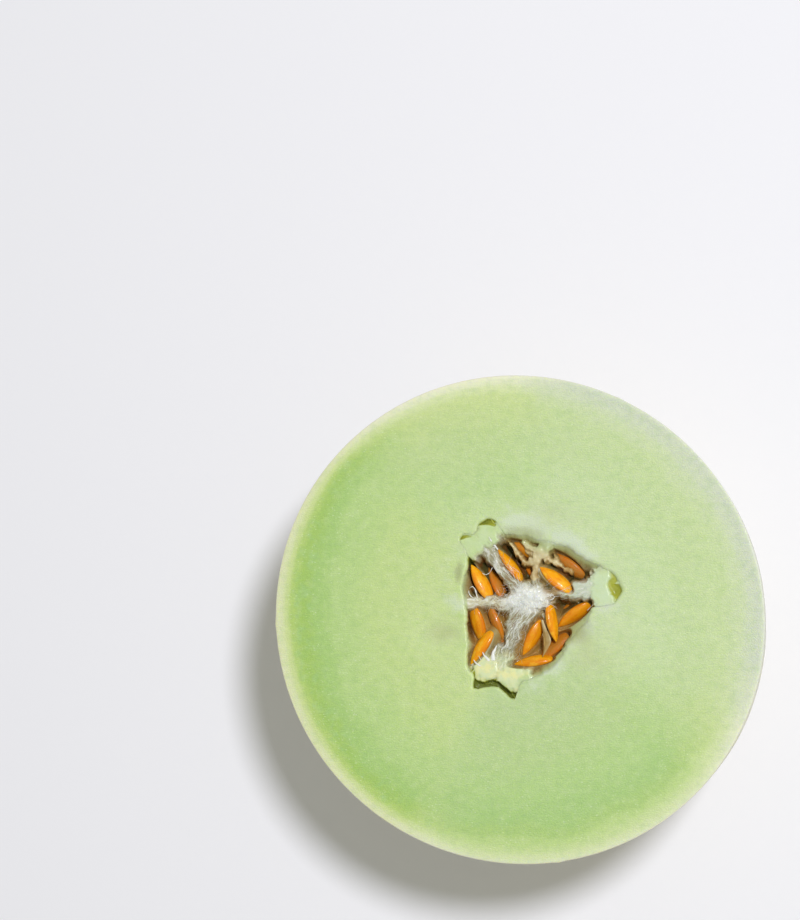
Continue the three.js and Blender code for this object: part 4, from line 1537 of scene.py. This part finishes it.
def strand_path(draw, tissue, start, spine, spread, most, matted):
    """One fine fibre that begins near a spine, as a list of (x, y, z, relative radius) in mm."""
    place = start + spine * draw.uniform(0, 0.9) + draw.normal(0, spread, 2)
    heading = math.atan2(spine[1], spine[0]) + draw.normal(0, 0.3)
    if matted:
        heading = draw.uniform(0, 2 * math.pi)
    curl = draw.normal(0, 0.2 if matted else 0.07)
    girth = draw.uniform(0.5, 1.5)
    steps = int(draw.integers(5, most + 1))
    height, path = None, []
    for step in range(steps):
        surface = tissue.top(*place)
        if surface is None:
            break
        lifted = surface + STRAND_LIFT + 0.25 * draw.random() ** 4
        height = lifted if height is None else max(lifted, height - 0.4)
        height = min(height, CUT_Z - 0.1)
        taper = min(1.0, 0.35 + min(step, steps - 1 - step) * 0.3)
        path.append((*place, height, girth * taper))
        place = place + STRAND_STEP * np.array([math.cos(heading), math.sin(heading)])
        heading += curl + draw.normal(0, 0.16)
    return path


def strand_paths(settings, tissue):
    """Fine fibres that lie on the tissue along its arms, and matted ones on the core."""
    draw = np.random.default_rng(STRAND_RANDOM)
    paths = []
    for start, end, share, spread, most, matted in STRAND_SPINES:
        start, spine = np.array(start), np.subtract(end, start)
        for _ in range(settings.strands * share // 100):
            path = strand_path(draw, tissue, start, spine, spread, most, matted)
            if len(path) >= STRAND_SHORTEST:
                paths.append(path)
    return paths


# Thicker threads: the stalks of the seeds and torn ends of membrane, as (x, y, depth, half
# thickness) in mm.
THREADS = {
    "stalk_a": [(-8.4, 25.0, 0.4, 0.2), (-7.2, 22.9, 0.5, 0.36), (-5.6, 20.6, 1.2, 0.2)],
    "stalk_b": [(-9.3, 23.8, 0.6, 0.16), (-7.9, 22.0, 0.8, 0.24), (-6.2, 20.0, 1.6, 0.12)],
    "torn_a": [(-10.2, -10.0, 0.5, 0.08), (-9.6, -11.2, 0.5, 0.26), (-8.6, -12.2, 0.6, 0.5),
               (-7.6, -13.8, 1.2, 0.8)],
    "torn_b": [(-13.0, -12.3, 0.7, 0.08), (-12.2, -13.4, 0.5, 0.24), (-10.9, -14.2, 0.6, 0.45),
               (-9.9, -15.6, 1.2, 0.8)],
    "torn_c": [(-6.0, -8.2, 1.0, 0.12), (-6.4, -9.4, 0.7, 0.4), (-7.0, -10.6, 0.6, 0.5),
               (-7.0, -12.4, 1.1, 0.9)],
    "torn_d": [(-11.4, -11.2, 0.7, 0.06), (-10.6, -12.6, 0.6, 0.2), (-9.4, -13.8, 1.0, 0.5)],
    "curl": [(9.6, 5.2, 1.0, 0.12), (11.0, 5.4, 0.4, 0.12), (11.8, 6.2, 0.4, 0.12),
             (11.0, 6.7, 0.6, 0.1), (10.3, 6.1, 0.9, 0.1)],
    "hair": [(-7.2, 15.2, 0.9, 0.07), (-8.1, 13.7, 1.2, 0.07), (-9.3, 13.1, 1.0, 0.07),
             (-10.3, 13.6, 1.1, 0.05)],
    "membrane_left": [(-14.6, 9.2, 3.0, 0.14), (-13.5, 9.6, 1.6, 0.16), (-12.6, 8.7, 1.4, 0.16),
                      (-12.1, 6.6, 1.8, 0.16), (-11.2, 4.9, 1.6, 0.14)],
    "membrane_left_b": [(-15.0, 8.6, 3.2, 0.12), (-14.6, 7.5, 2.2, 0.14), (-13.5, 6.3, 1.9, 0.14),
                        (-11.8, 5.8, 1.7, 0.12)],
    "right_a": [(21.4, 0.6, 3.2, 0.1), (24.0, 2.6, 1.8, 0.1), (26.0, 4.4, 1.0, 0.12)],
    "right_b": [(21.2, 2.2, 3.4, 0.08), (23.2, 3.7, 1.8, 0.08), (25.4, 4.9, 1.0, 0.1)],
}

# A torn strip of membrane that hangs between two seeds: (x, y, depth, half width) in mm.
STRIP = [
    (7.8, -0.6, 1.6, 0.35), (8.3, -3.0, 2.0, 0.6), (8.9, -5.2, 2.4, 1.0), (9.2, -7.2, 2.6, 1.2),
    (8.6, -9.4, 2.6, 0.7), (7.7, -11.6, 2.8, 0.12),
]


def path_of(row):
    """A smooth path from (x, y, depth, half thickness) points."""
    path = smooth_path(row)
    return [(x, y, CUT_Z - depth, max(girth, 0.03)) for x, y, depth, girth in path]


def roughened(mesh, amount, size, seed):
    """Moves each vertex along its normal by noise, in mm."""
    points, normals = mesh_coords(mesh) / MM, mesh_normals(mesh)
    points += normals * (amount * noise_at(points, size, seed))[:, None]
    points[:, 2] = np.minimum(points[:, 2], CUT_Z - 0.05)
    mesh.vertices.foreach_set("co", (points * MM).astype(np.float32).ravel())
    mesh.update()


def store_tissue(mesh, white, film, stain_and_shade):
    """The values that the tissue's finish reads, for a piece that lies on it and is white within
    some mm of the core."""
    points = mesh_coords(mesh) / MM
    reach = np.hypot(points[:, 0] - CORE[0], points[:, 1] - CORE[1])
    store(mesh, "down", stain_and_shade * (CUT_Z - points[:, 2]))
    store(mesh, "film", np.full(len(points), film))
    store(mesh, "core", smoothstep(white + 7, white, reach))
    store(mesh, "fibres", noise_at(points, 0.8, 2.0))
    store(mesh, "arm", np.ones(len(points)))


def strip_mesh():
    """A thin closed ribbon along the strip's path."""
    path = smooth_path(STRIP)
    around = np.linspace(0, 2 * math.pi, 16, endpoint=False)
    rings = []
    for x, y, depth, half in path:
        half = max(half, 0.06)
        side = half * np.cos(around)
        sag = 0.35 * np.sin(side * 1.7) + 0.12 * np.sin(side * 5.1 + x)
        rings.append(np.stack([
            x + side, y + 0.15 * side, CUT_Z - depth + 0.13 * np.sin(around) + sag], 1))
    mesh = ring_mesh("membrane_strip", rings)
    face_outwards(mesh)
    return mesh


class MELON_OT_fibres(bpy.types.Operator):
    """Lay the fine fibres, the seed stalks and the torn membranes over the tissue"""
    bl_idname = "melon.make_fibres"
    bl_label = "Fibres and Membranes"

    def execute(self, context):
        settings = context.scene.melon_tissue
        material = tissue_material(settings, "wet_fibre", 0.08)
        strands = swept(
            "fine_fibres", strand_paths(settings, Tissue()), material, settings.strand_radius, 5)
        threads = swept("seed_stalks", [path_of(row) for row in THREADS.values()], material, MM, 10)
        roughened(threads, 0.1, 0.6, 6.0)
        for name, mesh, white, film, stain_and_shade in (
                ("fine_fibres", strands, 8, 0.0, 0.45),
                ("seed_stalks", threads, 40, 0.0, 0.3),
                ("membrane_strip", strip_mesh(), 8, 1.0, 1.3)):
            mesh.materials.clear()
            store_tissue(mesh, white, film, stain_and_shade)
            piece = put(name, mesh, material)
            hand_in(piece, "placenta")
        return {"FINISHED"}


# ---- Stage ----

CAMERA_TILT = (math.radians(12), math.radians(-10))  # off the cut face's normal, and towards where
CAMERA_DISTANCE = 0.9175  # m, from the middle of the cut face
AIM = Vector((-0.0355, 0.0481, CUT_Z * MM))  # the melon stands low and to the right of the frame
KEY_DIRECTION = Vector((0.4, 0.21, 1.0))  # from the middle of the cut face to the key light
KEY_DISTANCE = 1.9  # m
KEY_SIZE = 0.3  # diameter of the key light's disk, m
FLOOR_REACH = 3.0  # m
FLOOR_GAP = 0.0002  # between the floor and the melon's flat, m


class MELON_OT_stage(bpy.types.Operator):
    """Set the floor, the soft key light, the white surroundings and the camera"""
    bl_idname = "melon.make_stage"
    bl_label = "Stage"

    def execute(self, context):
        settings = context.scene.melon_stage
        scene = context.scene
        scene.view_settings.view_transform = "Standard"
        self.camera(scene, settings)
        self.floor(settings)
        self.lights(scene, settings)
        return {"FINISHED"}

    def camera(self, scene, settings):
        """A long lens that looks down on the cut face, a little from the right."""
        tilt, towards = CAMERA_TILT
        offset = Vector((
            math.sin(tilt) * math.cos(towards), math.sin(tilt) * math.sin(towards), math.cos(tilt)))
        lens = bpy.data.cameras.new("camera")
        lens.lens = settings.lens
        lens.sensor_width = 36
        lens.clip_start = 0.01
        camera = bpy.data.objects.new("camera", lens)
        scene.collection.objects.link(camera)
        camera.location = FACE + CAMERA_DISTANCE * offset
        forward = (AIM - camera.location).normalized()
        right = forward.cross(Vector((0, 1, 0))).normalized()
        up = right.cross(forward)
        camera.rotation_euler = Matrix((right, up, -forward)).transposed().to_euler()
        scene.camera = camera

    def floor(self, settings):
        """A plain matt sheet under the melon."""
        mesh = bpy.data.meshes.new("floor")
        corners = [(x * FLOOR_REACH, y * FLOOR_REACH, 0) for x, y in ((-1, -1), (1, -1), (1, 1), (-1, 1))]
        mesh.from_pydata(corners, [], [(0, 1, 2, 3)])
        floor = bpy.data.objects.new("floor", mesh)
        bpy.context.collection.objects.link(floor)
        floor.location.z = -FLOOR_GAP
        shader = Shader("floor_paper")
        shader.set(Base_Color=(*settings.floor, 1), Roughness=0.9, Specular_IOR_Level=0.0)
        mesh.materials.append(shader.material)

    def lights(self, scene, settings):
        """One soft disk of light above the cut face, and even white surroundings."""
        lamp = bpy.data.lights.new("key", "AREA")
        lamp.energy = settings.key
        lamp.color = (1.0, 1.0, 1.09)
        lamp.shape = "DISK"
        lamp.size = KEY_SIZE
        key = bpy.data.objects.new("key", lamp)
        scene.collection.objects.link(key)
        key.location = FACE + KEY_DISTANCE * KEY_DIRECTION.normalized()
        key.rotation_euler = (-KEY_DIRECTION).to_track_quat("-Z", "Y").to_euler()
        world = bpy.data.worlds.new("surroundings")
        world.use_nodes = True
        background = world.node_tree.nodes["Background"]
        background.inputs["Color"].default_value = (1.0, 1.0, 0.9, 1)
        background.inputs["Strength"].default_value = settings.fill
        scene.world = world


# ---- Add-on ----

class MELON_PT_panel(bpy.types.Panel):
    """Lists the pieces of the melon and their settings"""
    bl_idname = "MELON_PT_panel"
    bl_label = "Honeydew Half"
    bl_space_type = "VIEW_3D"
    bl_region_type = "UI"
    bl_category = "Melon"

    def draw(self, context):
        layout = self.layout
        for group_name, operators in PARTS:
            box = layout.box()
            group = getattr(context.scene, group_name)
            for name in type(group).__annotations__:
                box.prop(group, name)
            for operator in operators:
                box.operator(operator.bl_idname)


PARTS = [
    ("melon_half", [MELON_OT_half]),
    ("melon_seeds", [MELON_OT_seeds]),
    ("melon_tissue", [MELON_OT_placenta, MELON_OT_fibres]),
    ("melon_stage", [MELON_OT_stage]),
]
GROUPS = {
    "melon_half": MelonSettings, "melon_seeds": SeedSettings,
    "melon_tissue": TissueSettings, "melon_stage": StageSettings,
}
CLASSES = [
    *GROUPS.values(), MELON_OT_half, MELON_OT_seeds, MELON_OT_placenta, MELON_OT_fibres,
    MELON_OT_stage, MELON_PT_panel,
]


def register():
    """Adds the add-on's classes and its settings to Blender."""
    for item in CLASSES:
        bpy.utils.register_class(item)
    for name, group in GROUPS.items():
        setattr(bpy.types.Scene, name, PointerProperty(type=group))


def unregister():
    """Takes the settings and the classes away again."""
    for name in GROUPS:
        delattr(bpy.types.Scene, name)
    for item in reversed(CLASSES):
        bpy.utils.unregister_class(item)


def main():
    """Builds the stage and every piece."""
    cad = [list(corner) for corner in (CAD_LOW, CAD_HIGH)]
    register()
    bpy.ops.melon.make_stage()
    bpy.ops.melon.make_half()
    bpy.ops.melon.make_seeds()
    bpy.ops.melon.make_placenta()
    bpy.ops.melon.make_fibres()


if __name__ == "__main__":
    main()
